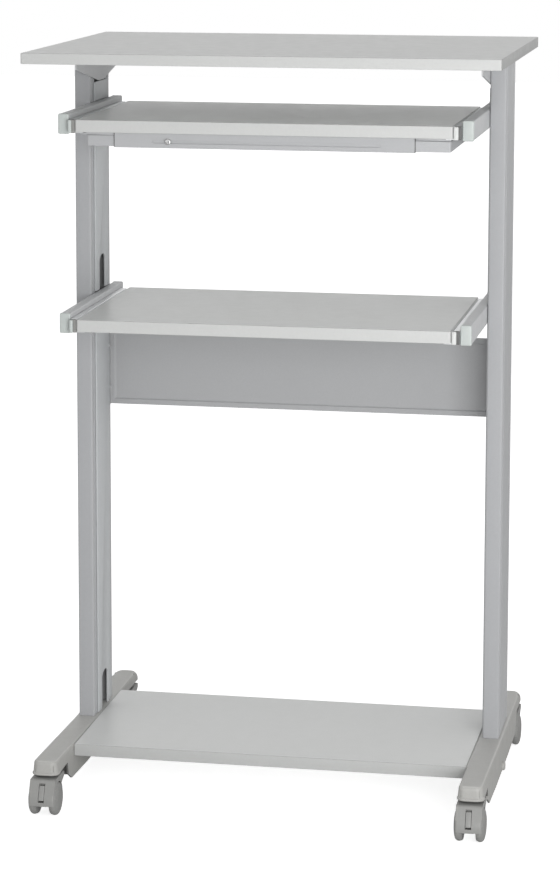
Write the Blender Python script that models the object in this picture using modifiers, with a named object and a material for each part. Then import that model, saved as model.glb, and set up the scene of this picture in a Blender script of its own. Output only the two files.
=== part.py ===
"""Computer cart on castors: two posts with cable ducts, a fixed top, two shelves that
pull out on ball slides, a mouse board that slides sideways, a back panel, a base shelf
and two hollow feet, each on two twin-wheel castors.

Metres, +Z up, +X to the user's right, the user stands at -Y.  The floor is z = 0 and
the origin lies in the middle of the footprint.
"""
import math

import bmesh
import bpy
from mathutils import Matrix, Vector

# fits
SEAT = 0.0003           # gap between two pieces that rest on one another
RUN = 0.0004            # gap round a pin that turns

# overall
TOTAL_H = 1.137
BOARD_T = 0.018         # the three shelves

# top board
TOP_T = 0.016
TOP_W = 0.700
TOP_FRONT = -0.306      # y values here are measured from the middle of the posts
TOP_D = 0.526
TOP_CORNER = 0.0025
TOP_EDGE = 0.0012
SHELF_EDGE = 0.0012

# posts, an extruded section with a cable duct in its inner side
POST_X = 0.3189
POST_W = 0.0245
POST_D = 0.122
POST_CORNER = 0.0028
POST_WALL = 0.0022
DUCT_W = 0.0700
DUCT_DEEP = 0.0215
GROOVE_Y = 0.0485
GROOVE_W = 0.0060
GROOVE_DEEP = 0.0015
COVER_LAP = 0.0060      # a cover reaches this far over each lip of the duct
COVER_T = 0.0025
PORT_W = 0.0380         # arched cable ports in the duct covers
PORT_RISE = 0.0110      # height of the arch over the straight sides of a port
LOW_PORT_TOP = 0.138
HIGH_PORT_UP = 0.0625   # top of the upper port above the middle shelf
COVER_GAP = 0.0010      # ends of a cover from its neighbours

# brackets that carry the top
BRACKET_T = 0.0023
BRACKET_REACH = 0.156
BRACKET_TIP = 0.0180
BRACKET_DEEP = 0.0443
BRACKET_FLAT = 0.016
BRACKET_FLANGE = 0.026

# feet
FOOT_HALF_W = 0.0180
FOOT_FRONT = -0.323
FOOT_REAR = 0.228
FOOT_TOP = 0.0777       # at the posts and behind them
FOOT_NOSE_TOP = 0.0825  # at the front end
FOOT_LOW = 0.0265
FOOT_WALL = 0.0026
FOOT_SHOULDER = 0.0045
NOSE_R = 0.010
NOSE_DROP = 0.006
TAIL_R = 0.0125         # the rear end is rounder
TAIL_DROP = 0.0100
FLARE = 0.0018          # the nose's walls spread by this towards their lower edge
FLARE_RUN = 0.0700
LIP = 0.0026
LIP_H = 0.0034
LIP_RUN = 0.014
RIB_T = 0.0022
ARCH_TOP = 0.0420       # from a castor's stem, the foot's lower edge is high as far as this
ARCH_LOW = 0.0470       # and from here on it runs low
ARCH_CORNER_Z = 0.0410
ARCH_RAMP = 0.0200      # length of the slope behind that corner
ARCH_RAMP_Z = 0.0030    # what is left above the lowest edge at the slope's end
ARCH_RUN = 0.0930       # length over which the rest is lost
RISE_Y = 0.0750         # the foot's top starts to rise this far before the posts' middle
RISE_RUN = 0.2250
RIB_Y = (-0.150, -0.050, 0.050)
RIB_Z = 0.0400
END_WALL = 0.0690       # cross wall behind a castor, from its stem, and its lower edge
END_WALL_Z = 0.0335
LEDGE_FRONT = 0.1400    # the ledge under the base shelf, from the posts' middle
LEDGE_REAR = 0.0500
BOSS_R = 0.0090
LEDGE = 0.0140          # carries an end of the base shelf

# castors
STEM_FRONT = -0.2950
STEM_REAR = 0.1975
FOOT_CASTOR_Z = 0.0612  # lower edge of the foot over a castor
CASTOR_TOP = 0.0592
BOSS_HOOD_R = 0.0090
COLLAR_R = 0.0180       # round collar of the hood under the foot
COLLAR_H = 0.0062
CASTOR_TRAIL = 0.0220
WHEEL_R = 0.0250
WHEEL_W = 0.0133
WHEEL_IN = 0.0098       # inner face of a wheel from the middle of the castor
AXLE_R = 0.0030
STEM_R = 0.0045
HOOD_GAP = 0.0020
HOOD_T = 0.0018
HOOD_INSET = 0.0014     # the wheels stand this far out of the hood's sides
HOOD_WEB = 0.0160
HOOD_CUT_FRONT = 0.0095  # fall of the hood's lower edge below the axle, and its rise behind it
HOOD_CUT_REAR = 0.0120
HOOD_CUT_RUN = 0.0600
WHEEL_CAP = 0.0040      # material of a wheel over the blind end of its bore
LEVER_W = 0.0080
LEVER_PROUD = 0.0004
LEVER_FROM = 7.0        # degrees round the axle, from level at the front
LEVER_TO = 58.0
POCKET_MORE = 6.0       # the pocket is longer than the lever at each end, in degrees
TRUNNION = 0.0016
TRUNNION_R = 0.0015

# arms and shelves
ARM_W = 0.0165
ARM_H = 0.0300
ARM_WALL = 0.0016
ARM_UP = 0.0077         # top of an arm above the shelf it carries
ARM_FRONT = -0.2605
ARM_REAR = 0.0805
CAP_T = 0.0050
CAP_PLUG = 0.010
ARM_END_STEP = 0.0004   # the ends stand this much proud of the tube
SHELF_HALF_W = 0.2774
SHELF_FRONT = -0.2732
SHELF_D = 0.345
KEYBOARD_DROP = 0.0987  # shelf tops below the top of the cart
MIDDLE_DROP = 0.3945
BASE_FRONT = -0.2155
BASE_D = 0.308
BASE_Z = 0.0784

# ball slides, one each side of a shelf
SLIDE_FRONT = -0.2650
SLIDE_LEN = 0.325
SLIDE_H = 0.0200
SLIDE_SHEET = 0.0012
SLIDE_DROP = 0.0002     # top of the slide below the shelf's top
INNER_H = 0.0110
INNER_REACH = 0.0082
INNER_RISE = 0.0096     # top of the inner channel's web above the slide's middle
SHELF_FLANGE = 0.0110
LIP_SLIDE = 0.0022
OUTER_MOUTH = 0.0026    # edge of the outer member from the shelf's edge
BALL_R = 0.00135
BALL_X = 0.0064         # ball row from the shelf's edge
BALLS = 3               # in each row
BALL_PITCH = 0.036
CAGE_T = 0.0006
CAGE_LEN = 0.100
CAGE_FRONT = -0.1530

# sideways mouse board under the keyboard shelf
HOUSE_HALF_W = 0.2210
HOUSE_FRONT = -0.2600
HOUSE_SHEET = 0.0012
HOUSE_H = 0.0221
HOUSE_LOW_FLANGE = 0.0120
SLOT_LEFT = -0.1650
SLOT_RIGHT = 0.1720
SLOT_H = 0.0056
MOUSE_LEFT = -0.2633
MOUSE_RIGHT = 0.2734
MOUSE_D = 0.1880
MOUSE_T = 0.0160
STOP_X = -0.1410
STOP_HEAD_R = 0.0046
STOP_HEAD_H = 0.0030
STOP_SHANK_R = 0.0020

# back panel
PANEL_Y = 0.0570
PANEL_DROP = 0.0629     # top of the panel below the middle shelf's top
PANEL_H = 0.1226
PANEL_SHEET = 0.0012
PANEL_BAND = 0.0075
PANEL_STEP = 0.0020
PANEL_FLANGE = 0.0120
PANEL_HEM = 0.0080

# screws
SCREW_HEAD_R = 0.0040
SCREW_HEAD_H = 0.0022
BOLT_HEAD_R = 0.0068
BOLT_HEAD_H = 0.0050
BOLT_R = 0.0030
BOLT_LEN = 0.008
BOLT_Y = -0.0570
BOLT_Z = 0.0345

FRONT_REACH = CASTOR_TRAIL + WHEEL_R + HOOD_GAP + HOOD_T + LEVER_PROUD - STEM_FRONT
POST_Y = (FRONT_REACH - FOOT_REAR) / 2    # puts the origin in the middle of the footprint
UNDERSIDE = TOTAL_H - TOP_T
KEYBOARD_Z = TOTAL_H - KEYBOARD_DROP
MIDDLE_Z = TOTAL_H - MIDDLE_DROP
HIGH_PORT_TOP = MIDDLE_Z + HIGH_PORT_UP
PANEL_TOP = MIDDLE_Z - PANEL_DROP
PANEL_LOW = PANEL_TOP - PANEL_H
POST_INNER = POST_X - POST_W / 2
ARM_OUTER = POST_INNER - SEAT
ARM_INNER = ARM_OUTER - ARM_W
BASE_HALF_W = POST_X - FOOT_HALF_W - SEAT
SIDES = (("left", -1), ("right", 1))
LEVELS = (("keyboard", KEYBOARD_Z), ("middle", MIDDLE_Z))

# colour, roughness, metallic
FINISHES = {
    "laminate": ((0.62, 0.62, 0.62), 0.45, 0.0),
    "painted": ((0.50, 0.51, 0.53), 0.42, 0.0),
    "foot": ((0.40, 0.395, 0.37), 0.50, 0.0),
    "castor": ((0.30, 0.30, 0.29), 0.48, 0.0),
    "cap": ((0.66, 0.70, 0.68), 0.40, 0.0),
    "cover": ((0.44, 0.45, 0.45), 0.50, 0.0),
    "zinc": ((0.74, 0.76, 0.76), 0.28, 1.0),
    "steel": ((0.62, 0.62, 0.62), 0.25, 1.0),
}

PARTS = None


def start():
    """Empty the scene and make the collection the parts go in."""
    global PARTS
    for ob in list(bpy.data.objects):
        bpy.data.objects.remove(ob, do_unlink=True)
    PARTS = bpy.data.collections.new("computer_cart")
    bpy.context.scene.collection.children.link(PARTS)


def material(name, finish):
    """A Principled material of the piece's own."""
    colour, rough, metal = FINISHES[finish]
    mat = bpy.data.materials.new(name)
    mat.use_nodes = True
    shader = mat.node_tree.nodes["Principled BSDF"]
    shader.inputs["Base Color"].default_value = (*colour, 1.0)
    shader.inputs["Roughness"].default_value = rough
    shader.inputs["Metallic"].default_value = metal
    return mat


def add_part(name, mesh, finish, origin=(0.0, 0.0, 0.0), parent=None):
    """Put a mesh, modelled about the origin given, into the scene as a named piece."""
    mesh.name = name
    mesh.shade_smooth()
    mesh.set_sharp_from_angle(angle=math.radians(38))
    mesh.materials.clear()
    mesh.materials.append(material(name, finish))
    ob = bpy.data.objects.new(name, mesh)
    ob.location = origin
    ob.parent = parent
    PARTS.objects.link(ob)
    return ob


def soften(ob, width, segments=2, angle=40.0):
    """Rounded edges."""
    bevel = ob.modifiers.new("rounded", "BEVEL")
    bevel.width = width
    bevel.segments = segments
    bevel.limit_method = "ANGLE"
    bevel.angle_limit = math.radians(angle)
    bevel.harden_normals = False
    return ob


def read_mesh(ob):
    """The mesh of an object with its modifiers, as a new mesh; the object goes."""
    graph = bpy.context.evaluated_depsgraph_get()
    mesh = bpy.data.meshes.new_from_object(ob.evaluated_get(graph))
    mesh.transform(ob.matrix_world)
    bpy.data.objects.remove(ob, do_unlink=True)
    return mesh


def tidy(mesh, dissolve=True):
    """Weld loose caps, join flat faces and turn all faces outwards."""
    bm = bmesh.new()
    bm.from_mesh(mesh)
    bmesh.ops.remove_doubles(bm, verts=bm.verts, dist=0.00001)
    if dissolve:
        bmesh.ops.dissolve_limit(bm, angle_limit=0.002, verts=bm.verts, edges=bm.edges)
    bmesh.ops.recalc_face_normals(bm, faces=bm.faces)
    bm.to_mesh(mesh)
    bm.free()
    return mesh


def temp_object(mesh):
    ob = bpy.data.objects.new("temp", mesh)
    bpy.context.scene.collection.objects.link(ob)
    return ob


def extrude_outline(loops, axis, low, high):
    """A flat outline, with any holes, drawn out along an axis from low to high.
    The loops hold (x, y) for axis z, (x, z) for axis y and (y, z) for axis x."""
    curve = bpy.data.curves.new("outline", "CURVE")
    curve.dimensions = "2D"
    curve.fill_mode = "BOTH"
    curve.extrude = (high - low) / 2
    for loop in loops:
        spline = curve.splines.new("POLY")
        spline.points.add(len(loop) - 1)
        for point, (u, v) in zip(spline.points, loop):
            point.co = (u, v, 0.0, 1.0)
        spline.use_cyclic_u = True
    ob = bpy.data.objects.new("outline", curve)
    bpy.context.scene.collection.objects.link(ob)
    mid = (low + high) / 2
    turn = {
        "z": Matrix(((1, 0, 0, 0), (0, 1, 0, 0), (0, 0, 1, mid), (0, 0, 0, 1))),
        "y": Matrix(((1, 0, 0, 0), (0, 0, -1, mid), (0, 1, 0, 0), (0, 0, 0, 1))),
        "x": Matrix(((0, 0, 1, mid), (1, 0, 0, 0), (0, 1, 0, 0), (0, 0, 0, 1))),
    }
    ob.matrix_world = turn[axis]
    bpy.context.view_layer.update()
    return tidy(read_mesh(ob))


def combine(mesh, tool, operation):
    """Boolean of two meshes."""
    base = temp_object(mesh)
    other = temp_object(tool)
    step = base.modifiers.new("step", "BOOLEAN")
    step.operation = operation
    step.solver = "EXACT"
    step.object = other
    bpy.context.view_layer.update()
    result = read_mesh(base)
    bpy.data.objects.remove(other, do_unlink=True)
    return tidy(result, dissolve=False)


def join(meshes):
    """Several separate solids as one mesh."""
    bm = bmesh.new()
    for mesh in meshes:
        bm.from_mesh(mesh)
    result = bpy.data.meshes.new("joined")
    bm.to_mesh(result)
    bm.free()
    return result


def box(low, high):
    """A box between two corners."""
    bm = bmesh.new()
    bmesh.ops.create_cube(bm, size=1.0)
    size = Vector(high) - Vector(low)
    bmesh.ops.scale(bm, vec=size, verts=bm.verts)
    bmesh.ops.translate(bm, vec=(Vector(high) + Vector(low)) / 2, verts=bm.verts)
    mesh = bpy.data.meshes.new("box")
    bm.to_mesh(mesh)
    bm.free()
    return mesh


def rod(radius, start_point, end_point, sides=12):
    """A round bar between two points."""
    first = Vector(start_point)
    line = Vector(end_point) - first
    bm = bmesh.new()
    bmesh.ops.create_cone(bm, cap_ends=True, segments=sides, radius1=radius, radius2=radius,
                          depth=line.length)
    turn = line.to_track_quat("Z", "Y").to_matrix().to_4x4()
    bmesh.ops.transform(bm, matrix=Matrix.Translation(first + line / 2) @ turn, verts=bm.verts)
    mesh = bpy.data.meshes.new("rod")
    bm.to_mesh(mesh)
    bm.free()
    return mesh


def turned(profile, steps):
    """A turned shape about local Z from (radius, height) points, top to bottom."""
    mesh = bpy.data.meshes.new("profile")
    points = [(r, 0.0, h) for r, h in profile]
    mesh.from_pydata(points, [(i, i + 1) for i in range(len(points) - 1)], [])
    ob = temp_object(mesh)
    screw = ob.modifiers.new("turn", "SCREW")
    screw.axis = "Z"
    screw.angle = 2 * math.pi
    screw.steps = steps
    screw.render_steps = steps
    screw.use_merge_vertices = True
    screw.merge_threshold = 0.00005
    bpy.context.view_layer.update()
    return tidy(read_mesh(ob), dissolve=False)


def arc(cx, cy, radius, start_deg, end_deg, steps):
    """Points along an arc, both ends included."""
    result = []
    for i in range(steps + 1):
        a = math.radians(start_deg + (end_deg - start_deg) * i / steps)
        result.append((cx + radius * math.cos(a), cy + radius * math.sin(a)))
    return result


def rounded_rect(x0, y0, x1, y1, radius, steps=3):
    """A rectangle with rounded corners, anticlockwise."""
    loop = arc(x1 - radius, y0 + radius, radius, -90, 0, steps)
    loop += arc(x1 - radius, y1 - radius, radius, 0, 90, steps)
    loop += arc(x0 + radius, y1 - radius, radius, 90, 180, steps)
    loop += arc(x0 + radius, y0 + radius, radius, 180, 270, steps)
    return loop


def stadium(x0, x1, cy, height, steps=4):
    """A level slot with round ends."""
    r = height / 2
    return arc(x1 - r, cy, r, -90, 90, steps) + arc(x0 + r, cy, r, 90, 270, steps)


def mirror_x(loop, side):
    """The loop as drawn for the right side, or its mirror image for the left."""
    if side > 0:
        return loop
    return [(-u, v) for u, v in reversed(loop)]


def pointing(away):
    """The turn that points local Z along a direction."""
    return Vector(away).to_track_quat("Z", "Y").to_matrix().to_4x4()


def pan_screw(head_r, head_h, shank_r, length):
    """A pan-head screw about local Z, the underside of its head at the origin."""
    profile = [(0.0, head_h), (head_r * 0.62, head_h * 0.9), (head_r, head_h * 0.35), (head_r, 0.0),
               (shank_r, 0.0), (shank_r, -length), (0.0, -length)]
    return turned(profile, 12)


def screw_head(place, away):
    """The head of a driven screw, sunk a little into the sheet it holds."""
    mesh = pan_screw(SCREW_HEAD_R, SCREW_HEAD_H, SCREW_HEAD_R * 0.5, 0.0006)
    mesh.transform(Matrix.Translation(place) @ pointing(away))
    return mesh


def board(name, half_w, front, depth, top, edge):
    """A plain laminated board with eased edges."""
    y0 = POST_Y + front
    middle = Vector((0.0, y0 + depth / 2, top - BOARD_T / 2))
    mesh = box((-half_w, -depth / 2, -BOARD_T / 2), (half_w, depth / 2, BOARD_T / 2))
    return soften(add_part(name, mesh, "laminate", middle), edge, 1)


def top_board():
    """The fixed top, with eased corners and edges."""
    y0 = POST_Y + TOP_FRONT
    loop = rounded_rect(-TOP_W / 2, y0, TOP_W / 2, y0 + TOP_D, TOP_CORNER)
    mesh = extrude_outline([loop], "z", UNDERSIDE, TOTAL_H)
    soften(add_part("top_board", mesh, "laminate"), TOP_EDGE, 2)


def post_section():
    """Section of the right post in plan, as (distance from the inner face, y)."""
    h = POST_D / 2
    w = POST_W
    r = POST_CORNER
    duct = DUCT_W / 2
    g0 = GROOVE_Y - GROOVE_W / 2
    g1 = GROOVE_Y + GROOVE_W / 2
    half = [(DUCT_DEEP, duct), (0.0, duct), (0.0, g0), (GROOVE_DEEP, g0), (GROOVE_DEEP, g1), (0.0, g1)]
    half += arc(r, h - r, r, 180, 90, 3)
    half += arc(w - r, h - r, r, 90, 0, 3)
    half += [(w, g1), (w - GROOVE_DEEP * 0.6, g1), (w - GROOVE_DEEP * 0.6, g0), (w, g0)]
    outer = half + [(u, -v) for u, v in reversed(half)]
    lo = GROOVE_DEEP + POST_WALL
    hi = w - GROOVE_DEEP * 0.6 - POST_WALL
    chamber = rounded_rect(lo, duct + POST_WALL, hi, h - POST_WALL, 0.0015, 1)
    other = [(u, -v) for u, v in reversed(chamber)]
    return [outer, chamber, other]


def post(name, side):
    """An extruded post: an open cable duct between two hollow chambers."""
    loops = []
    for loop in post_section():
        placed = [(POST_INNER + u, POST_Y + v) for u, v in loop]
        loops.append(mirror_x(placed, side))
    add_part(name, extrude_outline(loops, "z", FOOT_TOP + SEAT, UNDERSIDE - SEAT), "painted")


def duct_cover(name, side, low, high, port_top, dip=None):
    """A strip over a length of the duct, with an arched cable port at its lower end.  Where an
    arm crosses it, between the two heights of a dip, it steps back into the duct."""
    t = COVER_T
    face = POST_INNER - SEAT - t
    back = face + t
    deep = POST_INNER + t
    section = [(face, low), (face, high), (back, high), (back, low)]
    if dip:
        section = [(face, low), (face, dip[0]), (deep - t, dip[0]), (deep - t, dip[1]), (face, dip[1]),
                   (face, high), (back, high), (back, dip[1] + t), (deep, dip[1] + t), (deep, dip[0] - t),
                   (back, dip[0] - t), (back, low)]
    half = DUCT_W / 2 + COVER_LAP
    mesh = extrude_outline([mirror_x(section, side)], "y", POST_Y - half, POST_Y + half)
    if dip:
        inner = DUCT_W / 2 - SEAT
        xs = sorted((side * back, side * (deep + t)))
        for y0, y1 in ((-half - t, -inner), (inner, half + t)):
            away = box((xs[0], POST_Y + y0, dip[0] - 2 * t), (xs[1], POST_Y + y1, dip[1] + 2 * t))
            mesh = combine(mesh, away, "DIFFERENCE")
    port = PORT_W / 2
    loop = [(POST_Y - port, low - t), (POST_Y + port, low - t)]
    loop += [(POST_Y + u, port_top - PORT_RISE + v * PORT_RISE / port) for u, v in arc(0, 0, port, 0, 180, 8)]
    xs = sorted((side * (face - t), side * (back + t)))
    mesh = combine(mesh, extrude_outline([loop], "x", *xs), "DIFFERENCE")
    add_part(name, mesh, "cover")


def duct_covers(tag, side):
    """The lower and the upper cover of a post; the middle arm stands between them."""
    arm_low, arm_high = arm_span(MIDDLE_Z)
    duct_cover("duct_cover_" + tag, side, FOOT_TOP + COVER_GAP, arm_low - COVER_GAP, LOW_PORT_TOP)
    low, high = arm_span(KEYBOARD_Z)
    duct_cover("upper_cover_" + tag, side, arm_high + COVER_GAP, UNDERSIDE - SEAT - BRACKET_DEEP - COVER_GAP,
               HIGH_PORT_TOP, (low - COVER_GAP, high + COVER_GAP))


def top_bracket(name, side):
    """A gusset on the post's inner face with a flange under the top."""
    high = UNDERSIDE - SEAT
    outline = [(-BRACKET_REACH, high), (-BRACKET_REACH, high - BRACKET_TIP),
               (-BRACKET_FLAT, high - BRACKET_DEEP), (BRACKET_FLAT, high - BRACKET_DEEP),
               (BRACKET_REACH, high - BRACKET_TIP), (BRACKET_REACH, high)]
    outline = [(POST_Y + y, z) for y, z in outline]
    face = POST_INNER - SEAT
    ends = sorted((side * face, side * (face - BRACKET_T)))
    mesh = extrude_outline([outline], "x", *ends)
    xs = sorted((side * (face - BRACKET_T / 2), side * (face - BRACKET_T - BRACKET_FLANGE)))
    plan = rounded_rect(xs[0], POST_Y - BRACKET_REACH + 0.002, xs[1], POST_Y + BRACKET_REACH - 0.002,
                        0.001, 1)
    flange = extrude_outline([plan], "z", high - BRACKET_T, high - 0.00002)
    mesh = combine(mesh, flange, "UNION")
    x = side * (face - BRACKET_T - BRACKET_FLANGE * 0.5)
    for y in (-BRACKET_REACH * 0.8, BRACKET_REACH * 0.8):
        head = screw_head((x, POST_Y + y, high - BRACKET_T), (0, 0, -1))
        mesh = combine(mesh, head, "UNION")
    add_part(name, mesh, "painted")


def arch_edge():
    """Lower edge of a foot behind a castor: distance from its stem, and height."""
    ramp = ARCH_LOW + ARCH_RAMP
    return ((ARCH_TOP, FOOT_CASTOR_Z), (ARCH_LOW, ARCH_CORNER_Z), (ramp, FOOT_LOW + ARCH_RAMP_Z),
            (ramp + ARCH_RUN, FOOT_LOW))


def foot_height(y):
    """Top and lower edge of a foot at a distance y from the middle of the posts."""
    rise = min(max((-y - RISE_Y) / RISE_RUN, 0.0), 1.0)
    top = FOOT_TOP + rise * (FOOT_NOSE_TOP - FOOT_TOP)
    for d, drop in ((y - FOOT_FRONT, NOSE_DROP), (FOOT_REAR - y, TAIL_DROP)):
        if d < drop:
            top -= drop - math.sqrt(drop ** 2 - (drop - max(d, 0.0)) ** 2)
    far = min(y - STEM_FRONT, STEM_REAR - y)
    edge = arch_edge()
    if far <= edge[0][0]:
        return top, FOOT_CASTOR_Z
    for (d0, z0), (d1, z1) in zip(edge, edge[1:]):
        if far <= d1:
            return top, z0 + (z1 - z0) * (far - d0) / (d1 - d0)
    return top, FOOT_LOW


def foot_stations():
    """Where the foot's sections stand: y and half width, front to rear."""
    def rounded_end(r):
        turns = [math.radians(deg) for deg in (0, 30, 60, 90)]
        return [(r * (1 - math.cos(a)), FOOT_HALF_W - r * (1 - math.sin(a))) for a in turns]

    front = [(FOOT_FRONT + d, w) for d, w in rounded_end(NOSE_R)]
    rear = [(FOOT_REAR - d, w) for d, w in reversed(rounded_end(TAIL_R))]
    steps = [d for d, z in arch_edge()]
    middle = [STEM_FRONT + d for d in steps] + [-RISE_Y]
    middle += [STEM_REAR - d for d in reversed(steps)]
    return front + [(y, FOOT_HALF_W) for y in sorted(middle)] + rear


def foot_shell(x):
    """The foot's skin, lofted through its sections and open below, made thick."""
    bm = bmesh.new()
    rows = []
    for y, w in foot_stations():
        top, low = foot_height(y)
        r = FOOT_SHOULDER
        spread = FLARE * max(1.0 - (y - FOOT_FRONT) / FLARE_RUN, 0.0)
        right = [(w + spread, low)] + arc(w - r, top - r, r, 0, 90, 3)
        section = [(-u, v) for u, v in right] + list(reversed(right))
        rows.append([bm.verts.new((x + u, POST_Y + y, v)) for u, v in section])
    for a, b in zip(rows, rows[1:]):
        for i in range(len(a) - 1):
            bm.faces.new((a[i], a[i + 1], b[i + 1], b[i]))
    bm.faces.new(list(reversed(rows[0])))
    bm.faces.new(rows[-1])
    bmesh.ops.recalc_face_normals(bm, faces=bm.faces)
    up = max(bm.faces, key=lambda f: f.calc_center_median().z)
    if up.normal.z < 0:
        bmesh.ops.reverse_faces(bm, faces=bm.faces)
    mesh = bpy.data.meshes.new("foot")
    bm.to_mesh(mesh)
    bm.free()
    ob = temp_object(mesh)
    solid = ob.modifiers.new("wall", "SOLIDIFY")
    solid.thickness = FOOT_WALL
    solid.offset = -1.0
    solid.use_even_offset = True
    bpy.context.view_layer.update()
    return tidy(read_mesh(ob), dissolve=False)


def foot_lip(x):
    """The bead round the lower edge of the nose."""
    centre = FOOT_FRONT + NOSE_R
    flat = FOOT_HALF_W - NOSE_R

    def run(offset):
        r = NOSE_R + offset
        line = [(FOOT_HALF_W + offset, FOOT_FRONT + LIP_RUN)]
        line += [(flat + u, centre - v) for u, v in arc(0, 0, r, 0, 90, 4)]
        return line + [(-u, v) for u, v in reversed(line)]

    loop = run(LIP) + list(reversed(run(-FOOT_WALL * 0.5)))
    loop = [(x + u, POST_Y + v) for u, v in loop]
    mesh = extrude_outline([loop], "z", FOOT_CASTOR_Z - 0.0004, FOOT_CASTOR_Z + LIP_H)
    return mesh


def foot(name, side):
    """A hollow foot with cross walls, castor bosses, a bead round its nose and a bolt low in its side."""
    x = side * POST_X
    mesh = combine(foot_shell(x), foot_lip(x), "UNION")
    reach = FOOT_HALF_W - FOOT_WALL * 0.5
    ribs = [(y, RIB_Z) for y in RIB_Y]
    ribs += [(y, END_WALL_Z) for y in (STEM_FRONT + END_WALL, STEM_REAR - END_WALL)]
    for y, low in ribs:
        top = foot_height(y)[0] - FOOT_WALL * 0.5
        rib = box((x - reach, POST_Y + y - RIB_T / 2, low), (x + reach, POST_Y + y + RIB_T / 2, top))
        mesh = combine(mesh, rib, "UNION")
    for y in (STEM_FRONT, STEM_REAR):
        top = foot_height(y)[0] - FOOT_WALL * 0.5
        y_world = POST_Y + y
        boss = rod(BOSS_R, (x, y_world, FOOT_CASTOR_Z + 0.0008), (x, y_world, top), 16)
        mesh = combine(mesh, boss, "UNION")
        rib = box((x - reach, y_world - RIB_T / 2, FOOT_CASTOR_Z + 0.002),
                  (x + reach, y_world + RIB_T / 2, top - 0.0003))
        mesh = combine(mesh, rib, "UNION")
        bore = rod(STEM_R + SEAT, (x, y_world, FOOT_CASTOR_Z - 0.010), (x, y_world, stem_top(y)), 12)
        mesh = combine(mesh, bore, "DIFFERENCE")
    inner = x - side * FOOT_HALF_W
    xs = sorted((inner + side * FOOT_WALL * 0.5, inner - side * LEDGE))
    under = BASE_Z - BOARD_T - SEAT
    ledge = box((xs[0], POST_Y - LEDGE_FRONT, under - FOOT_WALL), (xs[1], POST_Y + LEDGE_REAR, under))
    mesh = combine(mesh, ledge, "UNION")
    bolt = pan_screw(BOLT_HEAD_R, BOLT_HEAD_H, BOLT_R, BOLT_LEN)
    wall = Vector((x + side * (FOOT_HALF_W - 0.0002), POST_Y + BOLT_Y, BOLT_Z))
    bolt.transform(Matrix.Translation(wall) @ pointing((side, 0, 0)))
    add_part(name, combine(mesh, bolt, "UNION"), "foot")


def stem_top(y):
    """Blind end of a castor bore."""
    return foot_height(y)[0] - FOOT_WALL - 0.001


def arm_span(level_z):
    """Lower and upper face of an arm."""
    top = level_z + ARM_UP
    return top - ARM_H, top


def arm_end(side, level_z, y0, y1):
    """A rounded end piece over the mouth of an arm, between two y values."""
    low, high = arm_span(level_z)
    xs = sorted((side * ARM_INNER, side * ARM_OUTER))
    ys = sorted((POST_Y + y0, POST_Y + y1))
    head = temp_object(box((xs[0], ys[0], low), (xs[1], ys[1], high)))
    soften(head, 0.0021, 2)
    bpy.context.view_layer.update()
    return tidy(read_mesh(head))


def arm(name, side, level_z):
    """A rectangular tube that runs forward from the post, closed behind, open in front."""
    low, high = arm_span(level_z)
    xs = sorted((side * ARM_INNER, side * ARM_OUTER))
    inset = ARM_END_STEP
    outer = rounded_rect(xs[0] + inset, low + inset, xs[1] - inset, high - inset, 0.0020, 2)
    inset += ARM_WALL
    inner = rounded_rect(xs[0] + inset, low + inset, xs[1] - inset, high - inset, 0.0008, 1)
    mesh = extrude_outline([outer, inner], "y", POST_Y + ARM_FRONT + CAP_T + SEAT, POST_Y + ARM_REAR - CAP_T)
    end = arm_end(side, level_z, ARM_REAR - CAP_T - 0.0006, ARM_REAR)
    add_part(name, combine(mesh, end, "UNION"), "painted")


def arm_cap(name, side, level_z):
    """The plastic cap in the front end of an arm, with the plug that holds it."""
    low, high = arm_span(level_z)
    gap = ARM_END_STEP + ARM_WALL + SEAT
    xs = sorted((side * ARM_INNER, side * ARM_OUTER))
    y1 = ARM_FRONT + CAP_T
    head = arm_end(side, level_z, ARM_FRONT, y1)
    loop = rounded_rect(xs[0] + gap, low + gap, xs[1] - gap, high - gap, 0.0012, 1)
    plug = extrude_outline([loop], "y", POST_Y + y1 - 0.0025, POST_Y + y1 + CAP_PLUG)
    add_part(name, combine(head, plug, "UNION"), "cap")


def slide_z(level_z):
    """Middle height of a slide."""
    return level_z - SLIDE_DROP - SLIDE_H / 2


def slide_outer(name, side, level_z):
    """The fixed channel of a ball slide, its lips turned in over the balls."""
    mid = slide_z(level_z)
    h = SLIDE_H / 2
    t = SLIDE_SHEET
    back = ARM_INNER - SEAT
    mouth = SHELF_HALF_W + OUTER_MOUTH
    upper = [(back, h), (mouth, h), (mouth, h - t - LIP_SLIDE), (mouth + t, h - t - LIP_SLIDE),
             (mouth + t, h - t), (back - t, h - t)]
    loop = upper + [(u, -v) for u, v in reversed(upper)]
    loop = mirror_x([(u, mid + v) for u, v in loop], side)
    y0 = POST_Y + SLIDE_FRONT
    add_part(name, extrude_outline([loop], "y", y0, y0 + SLIDE_LEN), "zinc")


def slide_inner(name, side, level_z):
    """The moving channel of a ball slide, with a flange under the shelf."""
    mid = slide_z(level_z)
    h = INNER_H / 2
    t = SLIDE_SHEET
    web = SHELF_HALF_W + SEAT
    tip = SHELF_HALF_W + INNER_REACH
    under = level_z - BOARD_T - SEAT - mid
    loop = [(web, INNER_RISE), (web + t, INNER_RISE), (web + t, h), (tip, h), (tip, h - t),
            (web + t, h - t), (web + t, -h + t), (tip, -h + t), (tip, -h), (web + t, -h), (web + t, under - t), (web - SHELF_FLANGE, under - t), (web - SHELF_FLANGE, under),
            (web, under)]
    loop = mirror_x([(u, mid + v) for u, v in loop], side)
    y0 = POST_Y + SLIDE_FRONT - 0.002
    middle = Vector((0.0, y0 + SLIDE_LEN / 2, mid))
    mesh = extrude_outline([loop], "y", y0, y0 + SLIDE_LEN)
    mesh.transform(Matrix.Translation(-middle))
    add_part(name, mesh, "zinc", middle)


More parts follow.
